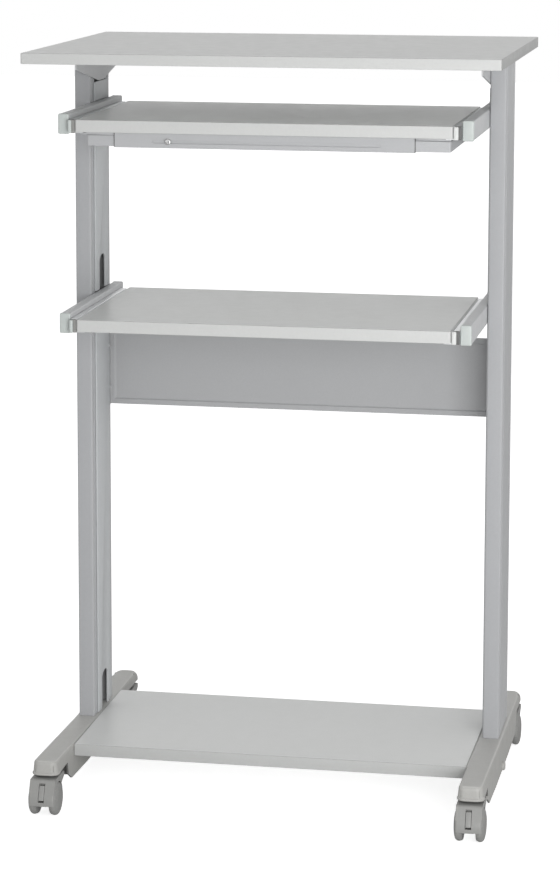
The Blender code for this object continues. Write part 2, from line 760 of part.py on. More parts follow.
def slide_cage(name, side, level_z):
    """The ball cage of a slide with its two rows of balls, between the two channels."""
    mid = slide_z(level_z)
    race = SLIDE_H / 2 - SLIDE_SHEET - SEAT - BALL_R
    t = CAGE_T
    y0 = POST_Y + CAGE_FRONT
    y1 = y0 + CAGE_LEN
    first = y0 + (CAGE_LEN - BALL_PITCH * (BALLS - 1)) / 2
    web_out = ARM_INNER - SEAT - SLIDE_SHEET - 0.0008
    near = SHELF_HALF_W + BALL_X - 0.0022
    upper = [(web_out, race + t / 2), (near, race + t / 2), (near, race - t / 2), (web_out - t, race - t / 2)]
    section = upper + [(u, -v) for u, v in reversed(upper)]
    section = mirror_x([(u, mid + v) for u, v in section], side)
    mesh = extrude_outline([section], "y", y0, y1)
    balls = []
    for row in (-1, 1):
        for i in range(BALLS):
            balls.append(ball((side * (SHELF_HALF_W + BALL_X), first + BALL_PITCH * i, mid + row * race)))
    mesh = combine(mesh, join(balls), "UNION")
    middle = Vector((0.0, (y0 + y1) / 2, mid))
    mesh.transform(Matrix.Translation(-middle))
    add_part(name, mesh, "steel", middle)


def ball(centre):
    """One ball of a slide."""
    bm = bmesh.new()
    bmesh.ops.create_uvsphere(bm, u_segments=8, v_segments=4, radius=BALL_R)
    bmesh.ops.translate(bm, vec=centre, verts=bm.verts)
    mesh = bpy.data.meshes.new("ball")
    bm.to_mesh(mesh)
    bm.free()
    return mesh


def slot_z():
    """Height of the middle of the mouse board, where its stop screw runs."""
    return KEYBOARD_Z - BOARD_T - SEAT - HOUSE_H + HOUSE_SHEET + SEAT + MOUSE_T / 2


def mouse_housing():
    """A folded sheet under the keyboard shelf: a web and a low flange at the front and at the
    back, and the long slot for the stop screw in its face."""
    t = HOUSE_SHEET
    high = KEYBOARD_Z - BOARD_T - SEAT
    low = high - HOUSE_H
    front = POST_Y + HOUSE_FRONT
    rear = front + MOUSE_D + 2 * (t + SEAT)
    flange = HOUSE_LOW_FLANGE
    section = [(front, high), (front, low), (front + flange, low), (front + flange, low + t),
               (front + t, low + t), (front + t, high - t), (rear - t, high - t), (rear - t, low + t),
               (rear - flange, low + t), (rear - flange, low), (rear, low), (rear, high)]
    mesh = extrude_outline([section], "x", -HOUSE_HALF_W, HOUSE_HALF_W)
    slot = stadium(SLOT_LEFT, SLOT_RIGHT, slot_z(), SLOT_H)
    cutter = extrude_outline([slot], "y", front - 0.002, front + t + 0.002)
    add_part("mouse_housing", combine(mesh, cutter, "DIFFERENCE"), "painted")


def mouse_board():
    """The board that slides out sideways, drilled for its stop screw."""
    y0 = POST_Y + HOUSE_FRONT + HOUSE_SHEET + SEAT
    mid = slot_z()
    centre = Vector(((MOUSE_LEFT + MOUSE_RIGHT) / 2, y0 + MOUSE_D / 2, mid))
    half = Vector(((MOUSE_RIGHT - MOUSE_LEFT) / 2, MOUSE_D / 2, MOUSE_T / 2))
    ob = temp_object(box(-half, half))
    soften(ob, 0.0010, 1)
    bpy.context.view_layer.update()
    mesh = tidy(read_mesh(ob))
    start_y = -MOUSE_D / 2
    x = STOP_X - centre.x
    hole = rod(STOP_SHANK_R + SEAT, (x, start_y - 0.003, 0.0), (x, start_y + 0.013, 0.0), 10)
    add_part("mouse_board", combine(mesh, hole, "DIFFERENCE"), "laminate", centre)


def stop_screw():
    """The bright screw that runs in the slot and stops the mouse board."""
    y = POST_Y + HOUSE_FRONT - RUN
    mesh = pan_screw(STOP_HEAD_R, STOP_HEAD_H, STOP_SHANK_R, 0.0130)
    mesh.transform(pointing((0, -1, 0)))
    add_part("stop_screw", mesh, "steel", (STOP_X, y, slot_z()))


def panel_half_width():
    return POST_INNER - SEAT - PANEL_SHEET


def back_panel():
    """A folded sheet between the posts: stepped border, hems behind, end flanges in front."""
    w = panel_half_width()
    step = PANEL_STEP
    xs = [(-w, 0.0), (-w + 0.006, 0.0), (-w + 0.008, step), (w - 0.008, step), (w - 0.006, 0.0), (w, 0.0)]
    zs = [(PANEL_LOW, 0.0), (PANEL_LOW + PANEL_BAND, 0.0), (PANEL_LOW + PANEL_BAND + 0.002, step),
          (PANEL_TOP - PANEL_BAND - 0.002, step), (PANEL_TOP - PANEL_BAND, 0.0), (PANEL_TOP, 0.0)]
    y0 = POST_Y + PANEL_Y
    bm = bmesh.new()
    grid = []
    for z, dz in zs:
        grid.append([bm.verts.new((x, y0 + min(dx, dz), z)) for x, dx in xs])
    for a, b in zip(grid, grid[1:]):
        for i in range(len(xs) - 1):
            bm.faces.new((a[i], a[i + 1], b[i + 1], b[i]))
    for row, flip in ((grid[0], True), (grid[-1], False)):
        back = [bm.verts.new((v.co.x, y0 + PANEL_HEM, v.co.z)) for v in row]
        for i in range(len(row) - 1):
            quad = (row[i], row[i + 1], back[i + 1], back[i])
            bm.faces.new(tuple(reversed(quad)) if flip else quad)
    for column, flip in ((0, False), (len(xs) - 1, True)):
        line = [row[column] for row in grid]
        fore = [bm.verts.new((v.co.x, y0 - PANEL_FLANGE, v.co.z)) for v in line]
        for i in range(len(line) - 1):
            quad = (line[i], line[i + 1], fore[i + 1], fore[i])
            bm.faces.new(tuple(reversed(quad)) if flip else quad)
    bmesh.ops.recalc_face_normals(bm, faces=bm.faces)
    centre = min(bm.faces, key=lambda f: f.calc_center_median().xz.length_squared)
    if centre.normal.y > 0:
        bmesh.ops.reverse_faces(bm, faces=bm.faces)
    mesh = bpy.data.meshes.new("panel")
    bm.to_mesh(mesh)
    bm.free()
    ob = temp_object(mesh)
    solid = ob.modifiers.new("sheet", "SOLIDIFY")
    solid.thickness = PANEL_SHEET
    solid.offset = -1.0
    solid.use_even_offset = True
    bpy.context.view_layer.update()
    mesh = tidy(read_mesh(ob))
    for _, side in SIDES:
        for z in (PANEL_LOW + 0.028, PANEL_TOP - 0.028):
            head = screw_head((side * w, y0 - PANEL_FLANGE * 0.55, z), (-side, 0, 0))
            mesh = combine(mesh, head, "UNION")
    add_part("back_panel", mesh, "painted")


def hood_ring():
    """The castor's mudguard as a full ring about the axle, its shoulders rounded."""
    r = WHEEL_R + HOOD_GAP
    half = WHEEL_IN + WHEEL_W - HOOD_INSET
    outer = [(r, half), (r + HOOD_T - 0.0012, half), (r + HOOD_T, half - 0.0030)]
    ring = outer + [(u, -h) for u, h in reversed(outer)]
    ring += [outer[0]]
    mesh = turned(ring, 28)
    mesh.transform(Matrix.Rotation(math.radians(90), 4, "Y"))
    return mesh


def hood_mesh(braked):
    """A castor hood about its stem: mudguard, web between the wheels and boss for the stem."""
    axle = Vector((0.0, -CASTOR_TRAIL, WHEEL_R))
    r = WHEEL_R + HOOD_GAP + HOOD_T
    ring = hood_ring()
    ring.transform(Matrix.Translation(axle))
    y = -CASTOR_TRAIL
    z = WHEEL_R
    wide = HOOD_CUT_RUN
    away = [(y - wide, z - HOOD_CUT_FRONT), (y, z - 0.0010), (y + 0.0060, z + 0.0030),
            (y + wide, z + HOOD_CUT_REAR), (y + wide, z - wide), (y - wide, z - wide)]
    mesh = combine(ring, extrude_outline([away], "x", -wide, wide), "DIFFERENCE")
    inside = r - HOOD_T * 0.5
    web = arc(y, z, inside, 192, 62, 12)
    web += [(-BOSS_HOOD_R * 0.8, CASTOR_TOP - 0.0015), (BOSS_HOOD_R * 0.8, CASTOR_TOP - 0.0015)]
    web += [(0.0100, z + 0.0120), (0.0095, z + 0.0050), (0.0085, z - 0.0010), (y + 0.0090, z - 0.0085)]
    web += [(y, z - 0.0105)]
    mesh = combine(mesh, extrude_outline([web], "x", -HOOD_WEB / 2, HOOD_WEB / 2), "UNION")
    boss = rod(BOSS_HOOD_R, (0, 0, z + WHEEL_R - 0.0040), (0, 0, CASTOR_TOP), 12)
    mesh = combine(mesh, boss, "UNION")
    collar = rod(COLLAR_R, (0, 0, CASTOR_TOP - COLLAR_H), (0, 0, CASTOR_TOP - SEAT), 16)
    mesh = combine(mesh, collar, "UNION")
    bore = rod(STEM_R + RUN, (0, 0, z + 0.0050), (0, 0, CASTOR_TOP + 0.010), 12)
    mesh = combine(mesh, bore, "DIFFERENCE")
    pin = rod(AXLE_R + SEAT, axle - Vector((0.05, 0, 0)), axle + Vector((0.05, 0, 0)), 12)
    mesh = combine(mesh, pin, "DIFFERENCE")
    if braked:
        gap = LEVER_W / 2 + 0.0006
        low = 180 - LEVER_FROM + POCKET_MORE
        high = 180 - LEVER_TO - POCKET_MORE
        pocket = arc(y, z, r + 0.004, low, high, 8)
        pocket += arc(y, z, r - 0.0105, high, low, 8)
        mesh = combine(mesh, extrude_outline([pocket], "x", -gap, gap), "DIFFERENCE")
        mesh = combine(mesh, trunnion(RUN), "DIFFERENCE")
    return mesh


def lever_pivot():
    """Pivot of a brake lever, in the middle of its length."""
    mid = math.radians(180 - (LEVER_FROM + LEVER_TO) / 2)
    r = WHEEL_R + HOOD_GAP + HOOD_T - 0.0040
    return Vector((0.0, -CASTOR_TRAIL + r * math.cos(mid), WHEEL_R + r * math.sin(mid)))


def trunnion(more):
    """The pin a brake lever rocks on, made larger by a clearance for its seat."""
    half = Vector((LEVER_W / 2 + TRUNNION + more, 0.0, 0.0))
    return rod(TRUNNION_R + more, lever_pivot() - half, lever_pivot() + half, 10)


def lever_mesh():
    """A curved rocker that lies flush in the hood's pocket."""
    r = WHEEL_R + HOOD_GAP + HOOD_T
    y = -CASTOR_TRAIL
    z = WHEEL_R
    loop = arc(y, z, r + LEVER_PROUD, 180 - LEVER_FROM, 180 - LEVER_TO, 8)
    loop += arc(y, z, r - 0.0052, 180 - LEVER_TO, 180 - LEVER_FROM, 8)
    mesh = extrude_outline([loop], "x", -LEVER_W / 2, LEVER_W / 2)
    mesh = combine(mesh, trunnion(0.0), "UNION")
    mesh.transform(Matrix.Translation(-lever_pivot()))
    return mesh


def wheel_mesh():
    """One wheel about local Z, its domed face up and a blind bore below."""
    r = WHEEL_R
    w = WHEEL_W
    profile = [(0.0, w), (r * 0.36, w - 0.0002), (r * 0.66, w - 0.0008), (r * 0.84, w - 0.0019),
               (r * 0.955, w - 0.0040), (r, w - 0.0072), (r - 0.0014, 0.0008), (r - 0.0034, 0.0),
               (AXLE_R + RUN, 0.0), (AXLE_R + RUN, w - WHEEL_CAP), (0.0, w - WHEEL_CAP)]
    return turned(profile, 20)


def castor(name, x, y, braked):
    """A twin-wheel castor at a stem position."""
    stand = bpy.data.objects.new(name + "_stand", None)
    stand.location = (x, POST_Y + y, 0.0)
    PARTS.objects.link(stand)
    add_part(name + "_hood", hood_mesh(braked), "castor", (0, 0, 0), stand)
    stem = rod(STEM_R, (0, 0, WHEEL_R + 0.0055), (0, 0, stem_top(y) - SEAT), 12)
    add_part(name + "_stem", stem, "steel", (x, POST_Y + y, 0.0))
    axle = Vector((0.0, -CASTOR_TRAIL, WHEEL_R))
    reach = WHEEL_IN + WHEEL_W - WHEEL_CAP - SEAT
    add_part(name + "_axle", rod(AXLE_R, (-reach, 0, 0), (reach, 0, 0), 12), "steel", axle, stand)
    for tag, side in SIDES:
        mesh = wheel_mesh()
        mesh.transform(Matrix.Rotation(side * math.radians(90), 4, "Y"))
        mesh.transform(Matrix.Translation((side * WHEEL_IN, 0.0, 0.0)))
        add_part(name + "_wheel_" + tag, mesh, "castor", axle, stand)
    if braked:
        add_part(name + "_lever", lever_mesh(), "castor", lever_pivot(), stand)


def frame():
    top_board()
    for tag, side in SIDES:
        post("post_" + tag, side)
        duct_covers(tag, side)
        top_bracket("top_bracket_" + tag, side)
        foot("foot_" + tag, side)
    back_panel()
    board("base_shelf", BASE_HALF_W, BASE_FRONT, BASE_D, BASE_Z, SHELF_EDGE)


def shelves():
    for level, z in LEVELS:
        board(level + "_shelf", SHELF_HALF_W, SHELF_FRONT, SHELF_D, z, SHELF_EDGE)
        for tag, side in SIDES:
            arm(level + "_arm_" + tag, side, z)
            arm_cap(level + "_arm_cap_" + tag, side, z)
            slide_outer(level + "_slide_outer_" + tag, side, z)
            slide_inner(level + "_slide_inner_" + tag, side, z)
            slide_cage(level + "_slide_cage_" + tag, side, z)
    mouse_housing()
    mouse_board()
    stop_screw()


def castors():
    for place, y, braked in (("front_", STEM_FRONT, True), ("rear_", STEM_REAR, False)):
        for tag, side in SIDES:
            castor("castor_" + place + tag, side * POST_X, y, braked)


def main():
    start()
    frame()
    shelves()
    castors()


main()
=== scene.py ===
"""Looks of the computer cart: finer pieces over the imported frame, materials, studio and camera.

Metres, +Z up, +X to the user's right, the user stands at -Y.
"""
import math

import bmesh
import bpy
from mathutils import Matrix, Vector


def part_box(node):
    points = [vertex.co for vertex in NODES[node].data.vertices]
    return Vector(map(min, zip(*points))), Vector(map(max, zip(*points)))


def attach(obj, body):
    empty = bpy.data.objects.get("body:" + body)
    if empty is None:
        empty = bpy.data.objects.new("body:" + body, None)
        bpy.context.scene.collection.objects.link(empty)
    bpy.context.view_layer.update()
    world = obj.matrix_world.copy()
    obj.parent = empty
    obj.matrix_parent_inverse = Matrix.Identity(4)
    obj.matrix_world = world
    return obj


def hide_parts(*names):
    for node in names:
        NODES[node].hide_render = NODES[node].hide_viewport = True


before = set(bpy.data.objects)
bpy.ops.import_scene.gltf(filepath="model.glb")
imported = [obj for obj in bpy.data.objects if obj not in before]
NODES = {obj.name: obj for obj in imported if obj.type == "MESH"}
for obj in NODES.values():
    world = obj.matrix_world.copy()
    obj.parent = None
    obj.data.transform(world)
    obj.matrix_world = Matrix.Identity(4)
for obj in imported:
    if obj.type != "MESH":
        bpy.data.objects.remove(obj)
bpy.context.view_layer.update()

SIDES = (("left", -1), ("right", 1))
LEVELS = ("keyboard", "middle")
# the top brackets take a lighter copy of the post paint, as painted light
CARRIED = (("back_panel", "panel"), ("top_bracket_left", "bracket"), ("top_bracket_right", "bracket"))
CASTORS = (("front_left", True), ("front_right", True), ("rear_left", False), ("rear_right", False))

# places taken from the frame
POST_LOW, POST_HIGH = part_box("post_right")
POST_X = (POST_LOW.x + POST_HIGH.x) / 2
POST_Y = (POST_LOW.y + POST_HIGH.y) / 2
POST_IN = POST_LOW.x
POST_W = POST_HIGH.x - POST_LOW.x
POST_D = POST_HIGH.y - POST_LOW.y

# small distances used in many places
WELD = 0.000005         # vertices nearer than this become one
LEVEL_ANGLE = 0.001     # faces that meet at less than this, in radians, become one
HAIR = 0.0001           # between pieces that touch
FIT = 0.0003            # between pieces that slide or rest on each other
LOOSE_WELD = 0.00002    # the same for turned shapes and nodes of the frame
CAD_EASE = 0.0004       # rounded edges of nodes that keep their shape
END_FACING = 0.7        # a face that looks this much along an axis is an end face
UP_FACING = 0.0013      # one that looks up more than this is no wall inside a foot
STRAIGHT = 86.0         # half the angle, in degrees, from which a corner counts as straight
SIDE_SHARE = 0.45       # a rounded corner takes this share of a side at most

# boards: rounded corners in plan, and eased edges
TOP_CORNER = 0.0025
TOP_EDGE = 0.0011
SHELF_CORNER = 0.0030
SHELF_EDGE = 0.0010
BASE_CORNER = 0.0014
BAND = 0.0012           # edge band
BAND_LEAST_R = 0.0002
CORE_LEAST_R = 0.0003

# screw heads, as shares of their radius or height
HEAD_FLAT = 0.55
HEAD_WALL = 0.35
HEAD_EASE = 0.03
CROSS_LONG = 0.52
CROSS_THIN = 0.13
CROSS_FLOOR = 0.45

# section of a post, and its duct covers
CORNER = 0.0028
EDGE_R = 0.0005
CHAMBER_R = 0.0015
OUT_GROOVE_DEEP = 0.0009
DUCT = 0.0700
DUCT_DEEP = 0.0215
GROOVE_Y = 0.0485
GROOVE_W = 0.0060
GROOVE_DEEP = 0.0015
WALL = 0.0022
COVER_T = 0.0025
COVER_GAP = 0.0010
COVER_EASE = 0.0004
PORT_HALF = 0.0190
PORT_RISE = 0.0110
LOW_PORT_TOP = 0.138
HIGH_PORT_UP = 0.0625

# castors
TRAIL = 0.0220
WHEEL_R = 0.0250
WHEEL_W = 0.0133
WHEEL_IN = 0.0098
AXLE_R = 0.0030
HOOD_R = 0.0288
HOOD_IN_R = 0.0270
HOOD_LIP_R = 0.0256
HOOD_HALF = 0.0196
HOOD_WEB = 0.0160
CASTOR_TOP = 0.0592
COLLAR_R = 0.0180
COLLAR_H = 0.0062
LEVER_W = 0.0080
LEVER_FROM = 7.0
LEVER_TO = 50.0
DECK_TOP = 0.0574       # flat top of a hood under the foot
DECK_FROM = 155.0       # its front leaves the hood's round here, in degrees from the rear
DECK_TO = 40.0
WEB_FROM = 192.0
WEB_TO = 62.0
DECK_REAR = 0.0150
DECK_LOW = 0.0500
POCKET_MORE = 6.0       # the pocket is longer than the lever at each end, in degrees
POCKET_DEEP = 0.0105
POCKET_GAP = 0.0006     # beside the lever
POCKET_OVER = 0.0012
DECK_REAR_R = 0.0036
DECK_FRONT_R = 0.0050
DECK_SIDE_R = 0.0022
DECK_INSET = 0.0004
GUARD_EDGE = 0.0002     # flat rim of the guard beside its rounded edge
GUARD_DEEP = 0.0050
GUARD_LIP = 0.0024
LEVER_T = 0.0052
LEVER_EASE = 0.0005
LEVER_PROUD = 0.0004    # the lever stands proud of the hood
REACH = 0.060           # cutters go past the castor by this
# outlines in side view from the axle: what is cut off below the guard, and the web's rear and lower edge
GUARD_CUT = ((-REACH, -0.0095), (0.0, -0.0010), (0.0060, 0.0030), (REACH, 0.0120), (REACH, -REACH),
             (-REACH, -REACH))
WEB_EDGE = ((0.0148, 0.0327), (0.0292, 0.0327), (0.0320, 0.0120), (0.0315, 0.0050), (0.0305, -0.0010),
            (0.0090, -0.0085), (0.0, -0.0105))
STEM_BOSS_R = 0.0090
STEM_BORE_R = 0.0049
STEM_BORE_UP = 0.0050
BOSS_SINK = 0.0040
# a wheel's face from the middle outwards: (share of the radius, distance below the face)
WHEEL_DOME = ((0.0, 0.0), (0.36, 0.0001), (0.60, 0.0005), (0.74, 0.0012), (0.84, 0.0019), (0.90, 0.0027),
              (0.955, 0.0040), (0.985, 0.0054), (1.0, 0.0072))
# its tread and inner edge: (distance inside the radius, height over the inner face)
WHEEL_BACK = ((0.0002, WHEEL_W - 0.0090), (0.0014, 0.0008), (0.0020, 0.0002), (0.0034, 0.0))
WHEEL_ROOF = 0.0040     # what the bore leaves of the wheel
WHEEL_PLAY = 0.0004

# feet, y from the middle of the posts
FOOT_HALF = 0.0180
FOOT_FRONT = -0.323
FOOT_REAR = 0.228
FOOT_TOP = 0.0777
FOOT_NOSE_TOP = 0.0825
FOOT_LOW = 0.0265
FOOT_WALL = 0.0026
FOOT_SHOULDER = 0.0045
FOOT_CASTOR_Z = 0.0612
NOSE_R = 0.010
NOSE_DROP = 0.006
TAIL_R = 0.0125
TAIL_DROP = 0.010
TAIL_RUN = 0.024        # length of the rear end's fall, and of its round shoulders
TAIL_SHOULDER = 0.0115
SHELF_SEAM = 0.0050     # a square edge beside the base shelf instead of the round shoulder
FLARE = 0.0018          # the nose's walls spread by this towards their lower edge
FLARE_RUN = 0.070
NOSE_LINE_X = 0.0135    # fine upright lines in the nose's front
NOSE_LINE_W = 0.0012
NOSE_LINE_DEEP = 0.0026
LIP = 0.0026
LIP_H = 0.0034
LIP_RUN = 0.014
STEM_FRONT = -0.295
STEM_REAR = 0.1975
RISE_FROM = -0.075      # the top rises from here to the nose
RISE_RUN = 0.225
TAIL_STATIONS = (0.60, 0.72, 0.86, 1.0)
ARCH_STATIONS = (0.041, 0.042, 0.0435, 0.0455, 0.047, 0.049, 0.056, 0.065, 0.067, 0.070, 0.100, 0.160)
MID_STATIONS = (-0.100, RISE_FROM, -0.050)
LEAST_FLAT = 0.0008     # flat left between a section's two shoulders, at least
LEAST_ROUND = 0.0004
LIP_BELOW = 0.0004
LIP_R = 0.0014
RIBS = (-0.150, -0.050, 0.050)
RIB_LOW = 0.040
RIB_HALF = 0.0011
STEM_RIB_UP = 0.002
BOSS_R = 0.0090
BOSS_UP = 0.0008
BORE_R = 0.0048
BORE_ROOF = 0.001
LEDGE_W = 0.0140
LEDGE_FROM = -0.140
LEDGE_TO = 0.050
EASE = 0.0006
BOLT_R = 0.0068
BOLT_H = 0.0050
BOLT_Y = -0.0570
BOLT_Z = 0.0345
ARCH = ((0.042, FOOT_CASTOR_Z), (0.047, 0.0410), (0.067, 0.0295), (0.160, FOOT_LOW))
END_WALL = 0.0690       # cross wall behind a castor, from its stem
END_WALL_Z = 0.0335

# arms and their caps
ARM_INSET = 0.0004      # the tube lies inside the cap's outline
ARM_WALL = 0.0016
ARM_R = 0.0022
ARM_IN_R = 0.0010
CAP_T = 0.0050
CAP_R = 0.0021
CAP_PLUG_GAP = 0.0023
CAP_PLUG_R = 0.0012

# slides and mouse tray
SHEET = 0.0012
BEND_R = 0.0010
OUTER_LIP = 0.0022
INNER_HALF = 0.0055
BALL_R = 0.00135
BALL_X = 0.0064         # from the shelf's end
BALL_STEP = 0.036
CAGE_HALF_T = 0.0003
BUFFER_W = 0.0070       # end stop on the front of a slide's inner member
LEFT_BUFFER_W = 0.0055
BUFFER_D = 0.0064
STOP_GAP = 0.0005
STOP_EASE = 0.0002
STOP_ROUND = 0.0020
SHADE_PLATE_CLEAR = 0.0004     # between the end plate and the arm
SHADE_PLATE_D = 0.0022         # painted shade: a dark plate behind that stop, over the mouth of the outer channel
INNER_RISE = 0.0096     # top of the inner channel's web above the slide's middle
RAIL_OUT = 0.2650       # guide rails of the mouse board, and their ends under the slides
RAIL_END = 0.2730
RAIL_STEP = 0.0018
RAIL_IN = 0.0003        # front of a rail behind the board's front
RAIL_D = 0.0120
RAIL_GAP = 0.0004
RAIL_EASE = 0.0004
SHADE_STRIP_W = 0.0012        # painted shade: a dark strip at each end of the housing
SHADE_STRIP_EASE = 0.0002
HOUSING_LIP = 0.0120
HOUSING_BEND_R = 0.0013
SLOT_FROM = -0.1650
SLOT_TO = 0.1720
SLOT_H = 0.0056
STOP_R = 0.0046
STOP_H = 0.0030
STOP_SHANK_R = 0.0020
STOP_SHANK = 0.0130

# studio: brightness of the sky at the horizon and overhead, the lamp in watts, and the floor
SKY_LEVEL = 0.80
SKY_TOP = 0.30
KEY_POWER = 47.0
KEY_PLACE = (1.22, -2.70, 0.80)
KEY_AIM = (0.0, 0.0, 0.62)
KEY_WIDE = 1.35
KEY_HIGH = 1.50
WHITE = (1.0, 1.0, 1.0, 1.0)
FLOOR_SIZE = 14.0
FLOOR_GREY = 0.86
FLOOR_ROUGH = 0.9
FLOOR_GLOW = 0.75       # for the camera alone, so that the ground shows white and keeps its shadow

# camera of the photograph, fitted to its straight edges: angles in degrees, CAMERA_BACK from the posts
SENSOR = 36.0
LENS = 124.73
SHIFT = (0.05347, -0.17777)
CAMERA_X = 0.8087
CAMERA_BACK = 4.5532
CAMERA_Z = 1.4334
CAMERA_DOWN = 8.1777
CAMERA_TURN = 11.2353
CAMERA_FAR = 60.0


# finishes: how a kind of surface looks, and then each finish's name, colour and kind
# (surface() says what the values are)
BOARD_FACE = dict(mottle=(420.0, 0.02), rough=(0.30, 0.40, 60.0), bump=(2600.0, 0.000004),
                  edge=(1.05, 0.0006), speck=(900.0, 0.97))
EDGE_BAND = dict(mottle=(260.0, 0.02), rough=(0.36, 0.48, 45.0), bump=(1800.0, 0.00003), edge=(1.05, 0.0005))
PROFILE_COAT = dict(mottle=(300.0, 0.02), rough=(0.36, 0.46, 30.0), bump=(1500.0, 0.00005),
                    edge=(1.10, 0.0006))
SHEET_COAT = dict(mottle=(340.0, 0.025), rough=(0.38, 0.50, 35.0), bump=(1700.0, 0.00005),
                  edge=(1.08, 0.0006))
FOOT_MOULD = dict(mottle=(220.0, 0.03), rough=(0.42, 0.56, 50.0), bump=(2200.0, 0.00007), edge=(1.10, 0.0010),
                  speck=(700.0, 0.92))
FOOT_HOLLOW = dict(mottle=(220.0, 0.05), rough=(0.50, 0.64, 50.0), bump=(2200.0, 0.00007),
                   edge=(1.10, 0.0006))
CASTOR_MOULD = dict(mottle=(240.0, 0.03), rough=(0.36, 0.50, 70.0), bump=(2400.0, 0.00005),
                    edge=(1.16, 0.0008))
RUBBER = dict(mottle=(200.0, 0.06), rough=(0.48, 0.66, 90.0), bump=(1400.0, 0.00008), edge=(1.14, 0.0008),
              speck=(350.0, 1.18))
CAP_MOULD = dict(mottle=(260.0, 0.02), rough=(0.30, 0.42, 60.0), bump=(2000.0, 0.00004), edge=(1.08, 0.0008))
PAINTED_SHADE_MOULD = dict(mottle=(260.0, 0.06), rough=(0.40, 0.54, 60.0), bump=(1500.0, 0.00006), edge=(1.10, 0.0006))
COVER_MOULD = dict(mottle=(300.0, 0.02), rough=(0.40, 0.52, 50.0), bump=(2000.0, 0.00004),
                   edge=(1.08, 0.0005))
ZINC = dict(mottle=(500.0, 0.08), rough=(0.35, 0.50, 160.0), bump=(900.0, 0.00004), edge=(1.08, 0.0005),
            metallic=1.0, stretch=(1.0, 0.06, 1.0))
STEEL = dict(mottle=(700.0, 0.06), rough=(0.14, 0.28, 220.0), bump=(1200.0, 0.00002), edge=(1.10, 0.0004),
             metallic=1.0)

LOOKS = {
    "laminate": ("laminate", (0.695, 0.704, 0.692), BOARD_FACE),
    # painted shade: the top board's face takes this darker copy of the laminate, where more light falls from
    # above
    "top_laminate_painted_shade": ("top_laminate_painted_shade", (0.600, 0.608, 0.598), BOARD_FACE),
    # painted light: the faces of the keyboard and base shelves, in shade under other boards, take this
    # lighter copy of the laminate
    "laminate_painted_light": ("laminate_painted_light", (0.780, 0.789, 0.778), BOARD_FACE),
    "band": ("edge_band", (0.558, 0.564, 0.556), EDGE_BAND),
    # painted shade: a darker copy of the edge band for the base shelf, which lies low in shade
    "base_band_painted_shade": ("base_band_painted_shade", (0.490, 0.496, 0.489), EDGE_BAND),
    # painted shade: a darker copy of the edge band for the top board's end faces, which get less light
    "end_band_painted_shade": ("end_band_painted_shade", (0.400, 0.404, 0.398),
                 dict(EDGE_BAND, mottle=(260.0, 0.03), rough=(0.40, 0.52, 45.0))),
    "post": ("post_coat", (0.392, 0.398, 0.410), PROFILE_COAT),
    # painted light: a lighter copy of the post paint for the posts' side faces, which get less of the lamp's
    # light
    "post_side_painted_light": ("side_coat_painted_light", (0.470, 0.477, 0.487), PROFILE_COAT),
    # painted shade: a darker finish for the faces inside the ducts, where shade falls behind the covers
    "duct": ("duct_painted_shade", (0.300, 0.303, 0.310),
             dict(PROFILE_COAT, mottle=(300.0, 0.04), rough=(0.45, 0.60, 40.0))),
    "arm": ("arm_coat", (0.600, 0.606, 0.615), SHEET_COAT),
    # painted light: a lighter copy of the post paint for the top brackets, in shade under the top board
    "bracket": ("bracket_coat_painted_light", (0.600, 0.605, 0.615), SHEET_COAT),
    "panel": ("panel_coat", (0.390, 0.394, 0.402), SHEET_COAT),
    "housing": ("housing_coat", (0.430, 0.435, 0.445),
                dict(SHEET_COAT, mottle=(340.0, 0.02), rough=(0.36, 0.48, 35.0))),
    "foot": ("foot_plastic", (0.420, 0.417, 0.400), FOOT_MOULD),
    # painted light: a lighter copy of the foot's plastic for its upward faces, which get more light than its
    # walls
    "foot_top_painted_light": ("painted_light_foot_plastic", (0.530, 0.527, 0.508),
                 dict(FOOT_MOULD, edge=(1.06, 0.0010), speck=(700.0, 0.94))),
    # painted shade: a dark finish for the walls inside a foot's hollow, where shade falls
    "foot_inside_painted_shade": ("painted_shade_foot_plastic", (0.150, 0.149, 0.144), FOOT_HOLLOW),
    "castor": ("castor_plastic", (0.292, 0.292, 0.283), CASTOR_MOULD),
    "tread": ("wheel_tread", (0.270, 0.270, 0.262), RUBBER),
    "cap": ("cap_plastic", (0.505, 0.541, 0.526), CAP_MOULD),
    "buffer": ("buffer_plastic", (0.660, 0.670, 0.660),
               dict(CAP_MOULD, rough=(0.34, 0.46, 60.0), edge=(1.05, 0.0008))),
    # painted shade: a near-black finish for the slides' front ends, the right end plates and the strips at
    # the housing's ends, standing for shade in openings and gaps
    "plug": ("painted_shade_plastic", (0.110, 0.111, 0.110), PAINTED_SHADE_MOULD),
    "cover": ("cover_plastic", (0.550, 0.565, 0.576), COVER_MOULD),
    "zinc": ("zinc_plate", (0.70, 0.71, 0.715), ZINC),
    "steel": ("bright_steel", (0.66, 0.66, 0.66), STEEL),
}


# shared by all finishes: slow colour changes, spread of the specks, unevenness of the edge wear and painted
# edge highlight
SLOW_SCALE = 0.06
SLOW_MOST = 0.35
SLOW_SHADE = 1.2
SPECK_FROM = 0.60
SPECK_TO = 0.74
WEAR_AND_HIGHLIGHT_SCALE = 90.0
WEAR_AND_HIGHLIGHT_LEAST = 0.25
WEAR_AND_HIGHLIGHT_FROM = 0.86        # how far the rounded normal turns at an edge lightened as wear and painted highlight, as a cosine
WEAR_AND_HIGHLIGHT_TO = 0.995

# materials

def material(name):
    """A new material, its node tree and its shader."""
    mat = bpy.data.materials.new(name)
    mat.use_nodes = True
    return mat, mat.node_tree, mat.node_tree.nodes["Principled BSDF"]


